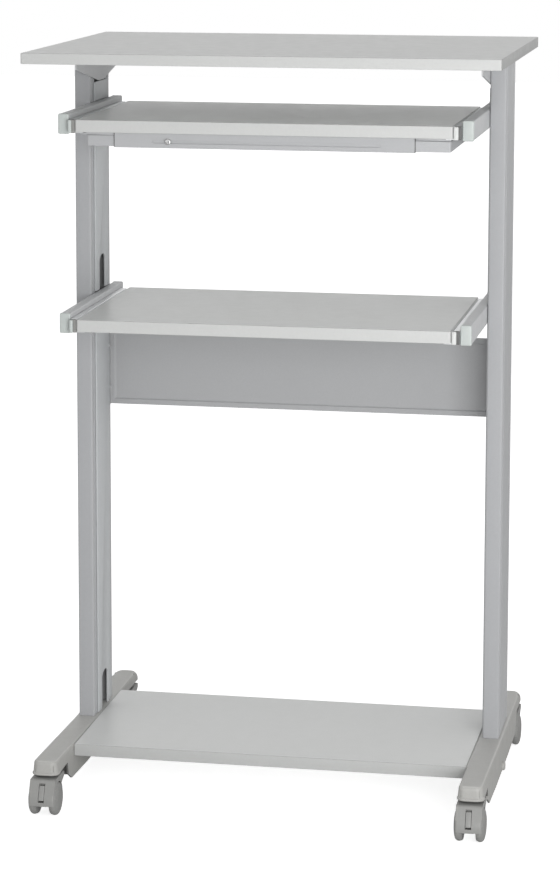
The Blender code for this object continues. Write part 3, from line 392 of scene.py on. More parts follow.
def make(tree, kind, inputs=None, **settings):
    """A node with its settings, and for its inputs values or other nodes' sockets."""
    made = tree.nodes.new(kind)
    for key, value in settings.items():
        setattr(made, key, value)
    for key, value in (inputs or {}).items():
        if isinstance(value, bpy.types.NodeSocket):
            tree.links.new(value, made.inputs[key])
        else:
            made.inputs[key].default_value = value
    return made


def coordinates(tree, stretch):
    """The object's own coordinates, in metres, stretched along some axes."""
    place = make(tree, "ShaderNodeTexCoord").outputs["Object"]
    return make(tree, "ShaderNodeMapping", {"Vector": place, "Scale": stretch}).outputs["Vector"]


def noise(tree, vector, scale, detail, rough=0.55):
    values = {"Vector": vector, "Scale": scale, "Detail": detail, "Roughness": rough}
    return make(tree, "ShaderNodeTexNoise", values).outputs["Fac"]


def spread(tree, value, low, high, from_low=0.3, from_high=0.7):
    """A value from one range to another."""
    values = {"Value": value, "From Min": from_low, "From Max": from_high, "To Min": low, "To Max": high}
    return make(tree, "ShaderNodeMapRange", values).outputs["Result"]


def reckon(tree, operation, first, second):
    return make(tree, "ShaderNodeMath", {0: first, 1: second}, operation=operation).outputs[0]


def blend(tree, share, first, second):
    """A mix of two colours."""
    return make(tree, "ShaderNodeMix", {"Factor": share, 6: first, 7: second}, data_type="RGBA").outputs[2]


def edge_mask(tree, radius):
    """About 1 along the edges of a piece and 0 on its faces."""
    rounded_way = make(tree, "ShaderNodeBevel", {"Radius": radius}, samples=6).outputs["Normal"]
    way = make(tree, "ShaderNodeNewGeometry").outputs["Normal"]
    dot = make(tree, "ShaderNodeVectorMath", {0: rounded_way, 1: way}, operation="DOT_PRODUCT")
    return spread(tree, dot.outputs["Value"], 1.0, 0.0, WEAR_AND_HIGHLIGHT_FROM, WEAR_AND_HIGHLIGHT_TO)


def shade(colour, factor):
    return (*(min(1.0, c * factor) for c in colour), 1.0)


def surface(name, colour, mottle, rough, bump, metallic=0.0, stretch=(1, 1, 1), edge=None, speck=None):
    """A finish: two scales of colour variation, uneven gloss, a fine surface, and rounded edges lightened as
    wear and as a painted highlight.
    mottle: (scale, share of the colour), rough: (low, high, scale), bump: (scale, height in metres),
    edge: (factor, radius), speck: (scale, factor)."""
    mat, tree, shader = material(name)
    shader.inputs["Metallic"].default_value = metallic
    place = coordinates(tree, stretch)
    scale, share = mottle
    cloud = spread(tree, noise(tree, place, scale, 4.0), 0.0, 1.0)
    tint = blend(tree, cloud, shade(colour, 1 - share), shade(colour, 1 + share))
    slow = spread(tree, noise(tree, place, scale * SLOW_SCALE, 2.0), 0.0, SLOW_MOST)
    tint = blend(tree, slow, tint, shade(colour, 1 - share * SLOW_SHADE))
    if speck:
        dots = spread(tree, noise(tree, place, speck[0], 1.0), 0.0, 1.0, SPECK_FROM, SPECK_TO)
        tint = blend(tree, dots, tint, shade(colour, speck[1]))
    # rounded edges lighter: partly wear, partly a painted highlight
    if edge:
        mask = edge_mask(tree, edge[1])
        uneven = spread(tree, noise(tree, place, WEAR_AND_HIGHLIGHT_SCALE, 4.0), WEAR_AND_HIGHLIGHT_LEAST, 1.0)
        wear_and_highlight = reckon(tree, "MULTIPLY", mask, uneven)
        tint = blend(tree, wear_and_highlight, tint, shade(colour, edge[0]))
    tree.links.new(tint, shader.inputs["Base Color"])
    gloss = spread(tree, noise(tree, place, rough[2], 4.0), rough[0], rough[1])
    tree.links.new(gloss, shader.inputs["Roughness"])
    height = noise(tree, place, bump[0], 3.0, 0.6)
    relief = make(tree, "ShaderNodeBump", {"Height": height, "Strength": 1.0, "Distance": bump[1]})
    tree.links.new(relief.outputs["Normal"], shader.inputs["Normal"])
    return mat


def finishes():
    """All finishes of the cart by slot or use."""
    return {key: surface(name, colour, **look) for key, (name, colour, look) in LOOKS.items()}


# shapes

def add(name, data):
    """A new object in the scene."""
    ob = bpy.data.objects.new(name, data)
    bpy.context.scene.collection.objects.link(ob)
    return ob


def read_mesh(ob):
    """The mesh of an object with its modifiers; the object goes."""
    bpy.context.view_layer.update()
    mesh = bpy.data.meshes.new_from_object(ob.evaluated_get(bpy.context.evaluated_depsgraph_get()))
    mesh.transform(ob.matrix_world)
    bpy.data.objects.remove(ob, do_unlink=True)
    return mesh


def tidy(mesh, dissolve=False):
    """Weld, join flat faces where asked and turn all faces outwards."""
    bm = bmesh.new()
    bm.from_mesh(mesh)
    bmesh.ops.remove_doubles(bm, verts=bm.verts, dist=WELD)
    if dissolve:
        bmesh.ops.dissolve_limit(bm, angle_limit=LEVEL_ANGLE, verts=bm.verts, edges=bm.edges)
    bmesh.ops.recalc_face_normals(bm, faces=bm.faces)
    bm.to_mesh(mesh)
    bm.free()
    return mesh


def mesh_of(bm, name="shape"):
    mesh = bpy.data.meshes.new(name)
    bm.to_mesh(mesh)
    bm.free()
    return mesh


def arc(cx, cy, radius, start_deg, end_deg, steps):
    """Points along an arc, both ends included."""
    angles = [math.radians(start_deg + (end_deg - start_deg) * i / steps) for i in range(steps + 1)]
    return [(cx + radius * math.cos(a), cy + radius * math.sin(a)) for a in angles]


def rounded_rect(x0, y0, x1, y1, radius, steps=6):
    """A rectangle with rounded corners, anticlockwise."""
    left, low, right, high = x0 + radius, y0 + radius, x1 - radius, y1 - radius
    loop = []
    for k, centre in enumerate(((right, low), (right, high), (left, high), (left, low))):
        loop += arc(*centre, radius, 90 * k - 90, 90 * k, steps)
    return loop


def stadium(x0, x1, cy, height, steps=10):
    """A level slot with round ends."""
    r = height / 2
    return arc(x1 - r, cy, r, -90, 90, steps) + arc(x0 + r, cy, r, 90, 270, steps)


def rounded(loop, radius, steps=3):
    """A closed outline with each corner rounded, less where a side is short.
    A corner given as (u, v, radius) has a radius of its own."""
    made = []
    count = len(loop)
    for i in range(count):
        here = Vector(loop[i][:2])
        back = Vector(loop[i - 1][:2]) - here
        on = Vector(loop[(i + 1) % count][:2]) - here
        size = loop[i][2] if len(loop[i]) > 2 else radius
        half = back.angle(on, math.pi) / 2
        if half > math.radians(STRAIGHT):
            made.append(tuple(here))
            continue
        cut = min(size / math.tan(half), back.length * SIDE_SHARE, on.length * SIDE_SHARE)
        a = here + back.normalized() * cut
        b = here + on.normalized() * cut
        for k in range(steps + 1):
            t = k / steps
            made.append(tuple(a * (1 - t) ** 2 + here * (2 * t * (1 - t)) + b * t ** 2))
    return made


def from_middle(low, high):
    """The smallest and the largest distance of a box from the cart's middle."""
    return sorted((abs(low.x), abs(high.x)))


def mirror(loop, side):
    """The loop as drawn for the right side, or its mirror image."""
    return loop if side > 0 else [(-u, v) for u, v in reversed(loop)]


def drawn(loops, axis, low, high):
    """A flat outline, with any holes, drawn out along an axis.
    The loops hold (x, y) for axis z, (x, z) for axis y and (y, z) for axis x."""
    curve = bpy.data.curves.new("outline", "CURVE")
    curve.dimensions = "2D"
    curve.fill_mode = "BOTH"
    curve.extrude = (high - low) / 2
    for loop in loops:
        spline = curve.splines.new("POLY")
        spline.points.add(len(loop) - 1)
        for point, (u, v) in zip(spline.points, loop):
            point.co = (u, v, 0.0, 1.0)
        spline.use_cyclic_u = True
    ob = add("outline", curve)
    mid = (low + high) / 2
    turn = {
        "z": Matrix.Translation((0, 0, mid)),
        "y": Matrix(((1, 0, 0, 0), (0, 0, -1, mid), (0, 1, 0, 0), (0, 0, 0, 1))),
        "x": Matrix(((0, 0, 1, mid), (1, 0, 0, 0), (0, 1, 0, 0), (0, 0, 0, 1))),
    }
    ob.matrix_world = turn[axis]
    return tidy(read_mesh(ob), dissolve=True)


def combine(mesh, tool, operation):
    """Boolean of two meshes."""
    base = add("temp", mesh)
    other = add("temp", tool)
    step = base.modifiers.new("step", "BOOLEAN")
    step.operation = operation
    step.solver = "EXACT"
    step.object = other
    result = read_mesh(base)
    bpy.data.objects.remove(other, do_unlink=True)
    return tidy(result)


def stitch(bm, rows):
    """Faces between closed rows of vertices."""
    for a, b in zip(rows, rows[1:]):
        for i in range(len(a)):
            j = (i + 1) % len(a)
            bm.faces.new((a[i], a[j], b[j], b[i]))


def box(low, high):
    bm = bmesh.new()
    bmesh.ops.create_cube(bm, size=1.0)
    bmesh.ops.scale(bm, vec=Vector(high) - Vector(low), verts=bm.verts)
    bmesh.ops.translate(bm, vec=(Vector(high) + Vector(low)) / 2, verts=bm.verts)
    return mesh_of(bm)


def rod(radius, first, last, sides=32):
    """A round bar between two points."""
    line = Vector(last) - Vector(first)
    bm = bmesh.new()
    bmesh.ops.create_cone(bm, cap_ends=True, segments=sides, radius1=radius, radius2=radius,
                          depth=line.length)
    turn = line.to_track_quat("Z", "Y").to_matrix().to_4x4()
    bmesh.ops.transform(bm, matrix=Matrix.Translation(Vector(first) + line / 2) @ turn, verts=bm.verts)
    return mesh_of(bm)


def turned(profile, steps=64):
    """A turned shape about local Z from (radius, height) points, top to bottom."""
    mesh = bpy.data.meshes.new("profile")
    mesh.from_pydata([(r, 0.0, h) for r, h in profile], [(i, i + 1) for i in range(len(profile) - 1)], [])
    ob = add("temp", mesh)
    screw = ob.modifiers.new("turn", "SCREW")
    screw.axis = "Z"
    screw.steps = steps
    screw.render_steps = steps
    screw.use_merge_vertices = True
    screw.merge_threshold = LOOSE_WELD
    return tidy(read_mesh(ob))


def softened(mesh, width, segments=2, angle=35.0):
    """A mesh with rounded edges."""
    ob = add("temp", mesh)
    bevel = ob.modifiers.new("rounded", "BEVEL")
    bevel.width = width
    bevel.segments = segments
    bevel.limit_method = "ANGLE"
    bevel.angle_limit = math.radians(angle)
    return read_mesh(ob)


def pointing(place, away):
    """The matrix that puts local Z along a direction at a place."""
    return Matrix.Translation(place) @ Vector(away).to_track_quat("Z", "Y").to_matrix().to_4x4()


def piece(name, mesh, finish, body, nodes=(), at=None, smooth=38.0):
    """Add a piece to a body, in place of some nodes of the frame."""
    mesh.name = name
    mesh.shade_smooth()
    mesh.set_sharp_from_angle(angle=math.radians(smooth))
    mesh.materials.clear()
    mesh.materials.append(FINISH[finish])
    ob = add(name, mesh)
    if at is not None:
        ob.matrix_world = at
    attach(ob, body)
    if nodes:
        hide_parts(*nodes)
    return ob


# boards

def band_ring(x0, y0, x1, y1, z0, z1, corner, edge):
    """An edge band round a board, its outer edges rounded, closed behind."""
    profile = [(BAND, z0)]
    profile += [(edge - u, z0 + edge - v) for u, v in arc(0, 0, edge, 90, 0, 5)]
    profile += [(edge - u, z1 - edge + v) for u, v in arc(0, 0, edge, 0, 90, 5)]
    profile += [(BAND, z1)]
    bm = bmesh.new()
    rings = []
    for d, z in profile:
        loop = rounded_rect(x0 + d, y0 + d, x1 - d, y1 - d, max(corner - d, BAND_LEAST_R))
        rings.append([bm.verts.new((u, v, z)) for u, v in loop])
    stitch(bm, rings + rings[:1])
    return tidy(mesh_of(bm))


def board(node, body, corner, edge, band="band", ends=None, face="laminate"):
    """A laminated board: two-faced core and the band round its edges, with its own finish
    on the two ends where one is named; the top board's end finish is a darker copy of the band, painted
    shade."""
    low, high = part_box(node)
    gap = BAND + HAIR
    inner = max(corner - gap, CORE_LEAST_R)
    loop = rounded_rect(low.x + gap, low.y + gap, high.x - gap, high.y - gap, inner)
    core = drawn([loop], "z", low.z, high.z)
    piece(node + "_core", core, face, body, [node])
    ring = band_ring(low.x, low.y, high.x, high.y, low.z, high.z, corner, edge)
    ob = piece(node + "_band", ring, band, body)
    if ends:
        ob.data.materials.append(FINISH[ends])
        # painted shade: the end faces take the darker end finish
        for side in ob.data.polygons:
            if abs(side.normal.x) > END_FACING:
                side.material_index = 1


def boards():
    # painted light and shade: the top board takes a darker copy of the laminate, the keyboard and base
    # shelves a lighter one
    board("top_board", "frame", TOP_CORNER, TOP_EDGE, ends="end_band_painted_shade", face="top_laminate_painted_shade")
    board("keyboard_shelf", "keyboard_shelf", SHELF_CORNER, SHELF_EDGE, face="laminate_painted_light")
    board("middle_shelf", "middle_shelf", SHELF_CORNER, SHELF_EDGE)
    # painted shade: the base shelf's band is a darker copy of the edge band
    board("base_shelf", "frame", BASE_CORNER, SHELF_EDGE, band="base_band_painted_shade", face="laminate_painted_light")
    board("mouse_board", "mouse_board", SHELF_CORNER, SHELF_EDGE, band="housing")


# screws

def pan_head(radius, height):
    """A pan head about local Z with a cross recess, its underside at z = 0."""
    turns = [math.radians(9 * k) for k in range(11)]
    profile = [(0.0, height)]
    profile += [(radius * (HEAD_FLAT + (1 - HEAD_FLAT) * math.sin(a)),
                 height * (HEAD_WALL + (1 - HEAD_WALL) * math.cos(a))) for a in turns]
    profile += [(radius, 0.0), (0.0, 0.0)]
    head = turned(profile, 40)
    arm = radius * CROSS_LONG
    thin = radius * CROSS_THIN
    for turn in (0, 90):
        cross = box((-arm, -thin, height * CROSS_FLOOR), (arm, thin, height * 2))
        cross.transform(Matrix.Rotation(math.radians(turn), 4, "Z"))
        head = combine(head, cross, "DIFFERENCE")
    return softened(head, radius * HEAD_EASE, 1, 40)


# posts and covers

def post_section():
    """Section of the right post in plan, as (distance from the inner face, y)."""
    h = POST_D / 2
    w = POST_W
    duct = DUCT / 2
    g0 = GROOVE_Y - GROOVE_W / 2
    g1 = GROOVE_Y + GROOVE_W / 2
    back = w - OUT_GROOVE_DEEP
    half = [(DUCT_DEEP, duct), (0.0, duct), (0.0, g0), (GROOVE_DEEP, g0), (GROOVE_DEEP, g1), (0.0, g1)]
    half += [(0.0, h, CORNER), (w, h, CORNER), (w, g1), (back, g1), (back, g0), (w, g0)]
    loop = half + [(c[0], -c[1], *c[2:]) for c in reversed(half)]
    chamber = rounded_rect(GROOVE_DEEP + WALL, duct + WALL, back - WALL, h - WALL, CHAMBER_R, 3)
    return [rounded(loop, EDGE_R, 6), chamber, [(u, -v) for u, v in reversed(chamber)]]


def posts():
    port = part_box("middle_shelf")[1].z + HIGH_PORT_UP
    arm_low, arm_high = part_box("keyboard_arm_right")
    dip = (arm_low.z - COVER_GAP, arm_high.z + COVER_GAP)
    for tag, side in SIDES:
        low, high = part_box("post_" + tag)
        loops = [mirror([(POST_IN + u, POST_Y + v) for u, v in loop], side) for loop in post_section()]
        ob = piece("post_" + tag + "_fine", drawn(loops, "z", low.z, high.z), "post", "frame",
                   ["post_" + tag])
        ob.data.materials.append(FINISH["post_side_painted_light"])
        ob.data.materials.append(FINISH["duct"])
        for face in ob.data.polygons:
            depth = side * face.center.x - POST_IN
            in_duct = abs(face.center.y - POST_Y) < DUCT / 2 + GROOVE_DEEP / 4
            # painted shade: faces inside the duct take the darker duct finish
            if in_duct and GROOVE_DEEP / 4 < depth < POST_W - WALL / 2:
                face.material_index = 2
            # painted light: side faces take the lighter copy of the post paint
            elif abs(face.normal.x) > END_FACING:
                face.material_index = 1
        cover("duct_cover_" + tag, side, LOW_PORT_TOP)
        cover("upper_cover_" + tag, side, port, dip)


def cover(node, side, top, dip=None):
    """A duct cover with an arched cable port at its lower end.  Where an arm crosses it, between
    the two heights of a dip, it steps back into the duct."""
    low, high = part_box(node)
    t = COVER_T
    face, deep = from_middle(low, high)
    back = face + t
    section = [(face, low.z), (face, high.z), (back, high.z), (back, low.z)]
    if dip:
        section = [(face, low.z), (face, dip[0]), (deep - t, dip[0]), (deep - t, dip[1]), (face, dip[1]),
                   (face, high.z), (back, high.z), (back, dip[1] + t), (deep, dip[1] + t), (deep, dip[0] - t),
                   (back, dip[0] - t), (back, low.z)]
    mesh = drawn([mirror(section, side)], "y", low.y, high.y)
    if dip:
        inner = DUCT / 2 - FIT
        xs = sorted((side * back, side * (deep + t)))
        for y0, y1 in ((low.y - t, POST_Y - inner), (POST_Y + inner, high.y + t)):
            away = box((xs[0], y0, dip[0] - 2 * t), (xs[1], y1, dip[1] + 2 * t))
            mesh = combine(mesh, away, "DIFFERENCE")
    port = [(POST_Y - PORT_HALF, low.z - t), (POST_Y + PORT_HALF, low.z - t)]
    port += [(POST_Y + u, top - PORT_RISE + v * PORT_RISE / PORT_HALF)
             for u, v in arc(0, 0, PORT_HALF, 0, 180, 32)]
    xs = sorted((side * (face - t), side * (back + t)))
    mesh = combine(mesh, drawn([port], "x", *xs), "DIFFERENCE")
    piece(node + "_fine", softened(mesh, COVER_EASE, 2), "cover", "frame", [node])


# feet

def foot_height(y):
    """Top and lower edge of a foot at a distance y from the middle of the posts."""
    rise = min(max((RISE_FROM - y) / RISE_RUN, 0.0), 1.0)
    top = FOOT_TOP + rise * (FOOT_NOSE_TOP - FOOT_TOP)
    for d, drop, run in ((y - FOOT_FRONT, NOSE_DROP, NOSE_DROP), (FOOT_REAR - y, TAIL_DROP, TAIL_RUN)):
        if d < run:
            top -= drop * (1 - math.sqrt(1 - (1 - max(d, 0.0) / run) ** 2))
    far = min(y - STEM_FRONT, STEM_REAR - y)
    if far <= ARCH[0][0]:
        return top, FOOT_CASTOR_Z
    for (d0, z0), (d1, z1) in zip(ARCH, ARCH[1:]):
        if far <= d1:
            return top, z0 + (z1 - z0) * (far - d0) / (d1 - d0)
    return top, FOOT_LOW


def foot_half(y):
    """Half width of a foot."""
    for d, r in ((y - FOOT_FRONT, NOSE_R), (FOOT_REAR - y, TAIL_R)):
        if d < r:
            return FOOT_HALF - r + math.sqrt(max(r ** 2 - (r - d) ** 2, 0.0))
    return FOOT_HALF


def foot_stations():
    """Where the foot's sections stand, front to rear."""
    turns = [1 - math.cos(math.radians(deg)) for deg in range(0, 91, 9)]
    places = [FOOT_FRONT + NOSE_R * d for d in turns] + [FOOT_REAR - TAIL_R * d for d in turns]
    places += [FOOT_REAR - TAIL_RUN * d for d in TAIL_STATIONS]
    places += [STEM_FRONT + d for d in ARCH_STATIONS] + [STEM_REAR - d for d in ARCH_STATIONS]
    return sorted(places + list(MID_STATIONS))


def foot_loft(x, wall, deeper):
    """The foot's outline, a wall's thickness inside it and deeper below, lofted through its sections."""
    bm = bmesh.new()
    rows = []
    length = FOOT_REAR - FOOT_FRONT
    for y in foot_stations():
        top, low = foot_height(y)
        w = foot_half(y)
        rear = min(max(1.0 - (FOOT_REAR - TAIL_R - y) / TAIL_RUN, 0.0), 1.0)
        r = min(FOOT_SHOULDER + rear * (TAIL_SHOULDER - FOOT_SHOULDER), w - LEAST_FLAT)
        flare = FLARE * max(1.0 - (y - FOOT_FRONT) / FLARE_RUN, 0.0)
        w -= wall
        top -= wall
        r = min(max(r - wall, LEAST_ROUND), w - LEAST_FLAT)
        right = [(w + flare, low - deeper)] + arc(w - r, top - r, r, 0, 90, 8)
        section = [(-u, v) for u, v in right] + list(reversed(right))
        place = POST_Y + FOOT_FRONT + wall + (y - FOOT_FRONT) * (length - 2 * wall) / length
        rows.append([bm.verts.new((x + u, place, v)) for u, v in section])
    stitch(bm, rows)
    bm.faces.new(list(reversed(rows[0])))
    bm.faces.new(rows[-1])
    return tidy(mesh_of(bm))


def foot_shell(x):
    """The foot's skin, open below."""
    return combine(foot_loft(x, 0.0, 0.0), foot_loft(x, FOOT_WALL, FOOT_WALL * 4), "DIFFERENCE")


def foot_bead(x):
    """The bead round the lower edge of the nose."""
    centre = FOOT_FRONT + NOSE_R
    flat = FOOT_HALF - NOSE_R

    def run(offset):
        r = NOSE_R + offset
        line = [(FOOT_HALF + offset, FOOT_FRONT + LIP_RUN)]
        line += [(flat + u, centre - v) for u, v in arc(0, 0, r, 0, 90, 12)]
        return line + [(-u, v) for u, v in reversed(line)]

    loop = run(LIP) + list(reversed(run(-FOOT_WALL / 2)))
    loop = [(x + u, POST_Y + v) for u, v in loop]
    return softened(drawn([loop], "z", FOOT_CASTOR_Z - LIP_BELOW, FOOT_CASTOR_Z + LIP_H), LIP_R, 4, 50)


def foot(tag, side):
    """A hollow foot with bead, nose lines, ribs, castor bosses, ledge and seam, and its bolt."""
    x = side * POST_X
    mesh = combine(foot_shell(x), foot_bead(x), "UNION")
    front = POST_Y + FOOT_FRONT
    for line in (x - NOSE_LINE_X, x + NOSE_LINE_X):
        cut = box((line - NOSE_LINE_W / 2, front - NOSE_R, FOOT_CASTOR_Z + LIP_H + NOSE_LINE_W),
                  (line + NOSE_LINE_W / 2, front + NOSE_LINE_DEEP, FOOT_NOSE_TOP - NOSE_DROP))
        mesh = combine(mesh, cut, "DIFFERENCE")
    skin = FOOT_WALL / 2
    reach = FOOT_HALF - skin
    stems = (STEM_FRONT, STEM_REAR)
    ribs = [(y, RIB_LOW) for y in RIBS] + [(y, FOOT_CASTOR_Z + STEM_RIB_UP) for y in stems]
    ribs += [(y, END_WALL_Z) for y in (STEM_FRONT + END_WALL, STEM_REAR - END_WALL)]
    for y, low in ribs:
        rib = box((x - reach, POST_Y + y - RIB_HALF, low),
                  (x + reach, POST_Y + y + RIB_HALF, foot_height(y)[0] - skin))
        mesh = combine(mesh, rib, "UNION")
    for y in stems:
        top = foot_height(y)[0]
        place = (x, POST_Y + y)
        boss = rod(BOSS_R, (*place, FOOT_CASTOR_Z + BOSS_UP), (*place, top - skin), 40)
        mesh = combine(mesh, boss, "UNION")
        bore = rod(BORE_R, (*place, FOOT_CASTOR_Z - BOSS_R), (*place, top - FOOT_WALL - BORE_ROOF), 32)
        mesh = combine(mesh, bore, "DIFFERENCE")
    shelf_low, shelf_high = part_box("base_shelf")
    inner = x - side * FOOT_HALF
    xs = sorted((inner + side * skin, inner - side * LEDGE_W))
    under = shelf_low.z - FIT
    ledge = box((xs[0], POST_Y + LEDGE_FROM, under - FOOT_WALL), (xs[1], POST_Y + LEDGE_TO, under))
    mesh = combine(mesh, softened(ledge, EASE, 2), "UNION")
    run = [shelf_low.y - POST_Y - SHELF_SEAM, RISE_FROM, shelf_high.y - POST_Y + SHELF_SEAM]
    upper = [(POST_Y + y, foot_height(y)[0] - HAIR) for y in run]
    seam = upper + [(y, z - SHELF_SEAM) for y, z in reversed(upper)]
    xs = sorted((inner + side * HAIR, inner + side * SHELF_SEAM))
    mesh = combine(mesh, softened(drawn([seam], "x", *xs), EASE, 2), "UNION")
    ob = piece("foot_" + tag + "_fine", mesh, "foot", "frame", ["foot_" + tag])
    ob.data.materials.append(FINISH["foot_top_painted_light"])
    ob.data.materials.append(FINISH["foot_inside_painted_shade"])
    for face in ob.data.polygons:
        y = face.center.y - POST_Y
        # painted shade: walls inside the hollow take the dark inside finish
        deep = FOOT_FRONT + skin < y < FOOT_REAR - skin and face.center.z < foot_height(y)[0] - skin
        if deep and abs(face.center.x - x) < foot_half(y) - skin and face.normal.z < UP_FACING:
            face.material_index = 2
        # painted light: upward faces take the lighter copy of the foot's plastic
        elif face.normal.z > END_FACING:
            face.material_index = 1
    wall = (x + side * (FOOT_HALF - HAIR), POST_Y + BOLT_Y, BOLT_Z)
    piece("foot_bolt_" + tag, pan_head(BOLT_R, BOLT_H), "foot", "frame",
          at=pointing(wall, (side, 0, 0)))


# arms, caps and slides

def arms(level):
    """Rectangular tubes with a plug cap in front and a flat one behind."""
    for tag, side in SIDES:
        node = level + "_arm_" + tag
        low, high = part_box(node)
        d = ARM_INSET
        outer = rounded_rect(low.x + d, low.z + d, high.x - d, high.z - d, ARM_R, 6)
        d = ARM_INSET + ARM_WALL
        inner = rounded_rect(low.x + d, low.z + d, high.x - d, high.z - d, ARM_IN_R, 4)
        rear = high.y - CAP_T
        tube = drawn([outer, inner], "y", low.y, rear)
        piece(node + "_tube", tube, "arm", "frame", [node])
        end = softened(box((low.x, rear + HAIR, low.z), high), CAP_R, 5)
        piece(level + "_arm_rear_cap_" + tag, end, "cap", "frame")
        cap = level + "_arm_cap_" + tag
        low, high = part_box(cap)
        head = softened(box(low, (high.x, low.y + CAP_T, high.z)), CAP_R, 5)
        d = CAP_PLUG_GAP
        loop = rounded_rect(low.x + d, low.z + d, high.x - d, high.z - d, CAP_PLUG_R, 3)
        plug = drawn([loop], "y", low.y + CAP_T / 2, high.y)
        piece(cap + "_fine", combine(head, plug, "UNION"), "cap", "frame", [cap])


def slides(level):
    """Both slides of a shelf: channels with rolled bends, end stops, and cages with their balls."""
    shelf = level + "_shelf"
    shelf_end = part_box(shelf)[1].x
    web = shelf_end + FIT
    t = SHEET
    for tag, side in SIDES:
        node = level + "_slide_outer_" + tag
        low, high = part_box(node)
        mid = (low.z + high.z) / 2
        h = (high.z - low.z) / 2
        mouth, back = from_middle(low, high)
        lip = h - t - OUTER_LIP
        upper = [(back, h), (mouth, h), (mouth, lip), (mouth + t, lip), (mouth + t, h - t),
                 (back - t, h - t)]
        loop = upper + [(u, -v) for u, v in reversed(upper)]
        loop = mirror([(u, mid + v) for u, v in rounded(loop, BEND_R, 3)], side)
        ob = piece(node + "_fine", drawn([loop], "y", low.y, high.y), "zinc", "frame", [node])
        ob.data.materials.append(FINISH["plug"])
        # painted shade: the outer channel's front end faces take the near-black finish
        for face in ob.data.polygons:
            if face.normal.y < -END_FACING:
                face.material_index = 1

        node = level + "_slide_inner_" + tag
        low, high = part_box(node)
        foot_x, tip = from_middle(low, high)
        h = INNER_HALF
        under = low.z + t - mid
        face = web + t
        loop = [(web, INNER_RISE), (face, INNER_RISE), (face, h), (tip, h), (tip, h - t), (face, h - t),
                (face, t - h), (tip, t - h), (tip, -h), (face, -h), (face, under - t), (foot_x, under - t),
                (foot_x, under), (web, under)]
        loop = mirror([(u, mid + v) for u, v in rounded(loop, BEND_R, 3)], side)
        piece(node + "_fine", drawn([loop], "y", low.y, high.y), "zinc", shelf, [node])
        slide_ends(level, tag, side, web + STOP_GAP, back - SHADE_PLATE_CLEAR)

        node = level + "_slide_cage_" + tag
        low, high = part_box(node)
        race = (high.z - low.z) / 2 - BALL_R
        near, far = from_middle(low, high)
        c = CAGE_HALF_T
        upper = [(far, race + c), (near, race + c), (near, race - c), (far - 2 * c, race - c)]
        loop = upper + [(u, -v) for u, v in reversed(upper)]
        mesh = drawn([mirror([(u, mid + v) for u, v in loop], side)], "y", low.y, high.y)
        centre = (low.y + high.y) / 2
        for row in (-1, 1):
            for k in (-1, 0, 1):
                bm = bmesh.new()
                bmesh.ops.create_uvsphere(bm, u_segments=20, v_segments=12, radius=BALL_R)
                place = (side * (shelf_end + BALL_X), centre + BALL_STEP * k, mid + row * race)
                bmesh.ops.translate(bm, vec=place, verts=bm.verts)
                mesh = combine(mesh, mesh_of(bm), "UNION")
        piece(node + "_fine", mesh, "steel", level + "_cages", [node])


def slide_ends(level, tag, side, near, far):
    """The end stop and the end plate in front of a slide, between two distances from the middle; the plate is
    painted shade.
    """
    low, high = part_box(level + "_slide_outer_" + tag)
    shelf = level + "_shelf"
    ends = (near, near + BUFFER_W) if side > 0 else (far - LEFT_BUFFER_W, far)
    xs = sorted(side * u for u in ends)
    stop = box((xs[0], low.y - BUFFER_D, low.z + STOP_EASE),
               (xs[1], low.y - SHADE_PLATE_D - HAIR, high.z - STOP_EASE))
    # painted shade: the left stop, shaded by the shelf, takes the darker cap colour instead of the white
    # buffer
    piece(level + "_slide_buffer_" + tag, softened(stop, STOP_ROUND, 5), "buffer" if side > 0 else "cap",
          shelf)
    # painted shade: the plate over the channel's mouth, near-black on the right and castor grey on the left
    xs = sorted((side * near, side * far))
    plug = box((xs[0], low.y - SHADE_PLATE_D, low.z + STOP_GAP), (xs[1], low.y - FIT, high.z - STOP_GAP))
    piece(level + "_slide_plate_painted_shade_" + tag, softened(plug, EASE, 3), "plug" if side > 0 else "castor",
          shelf)


# mouse tray

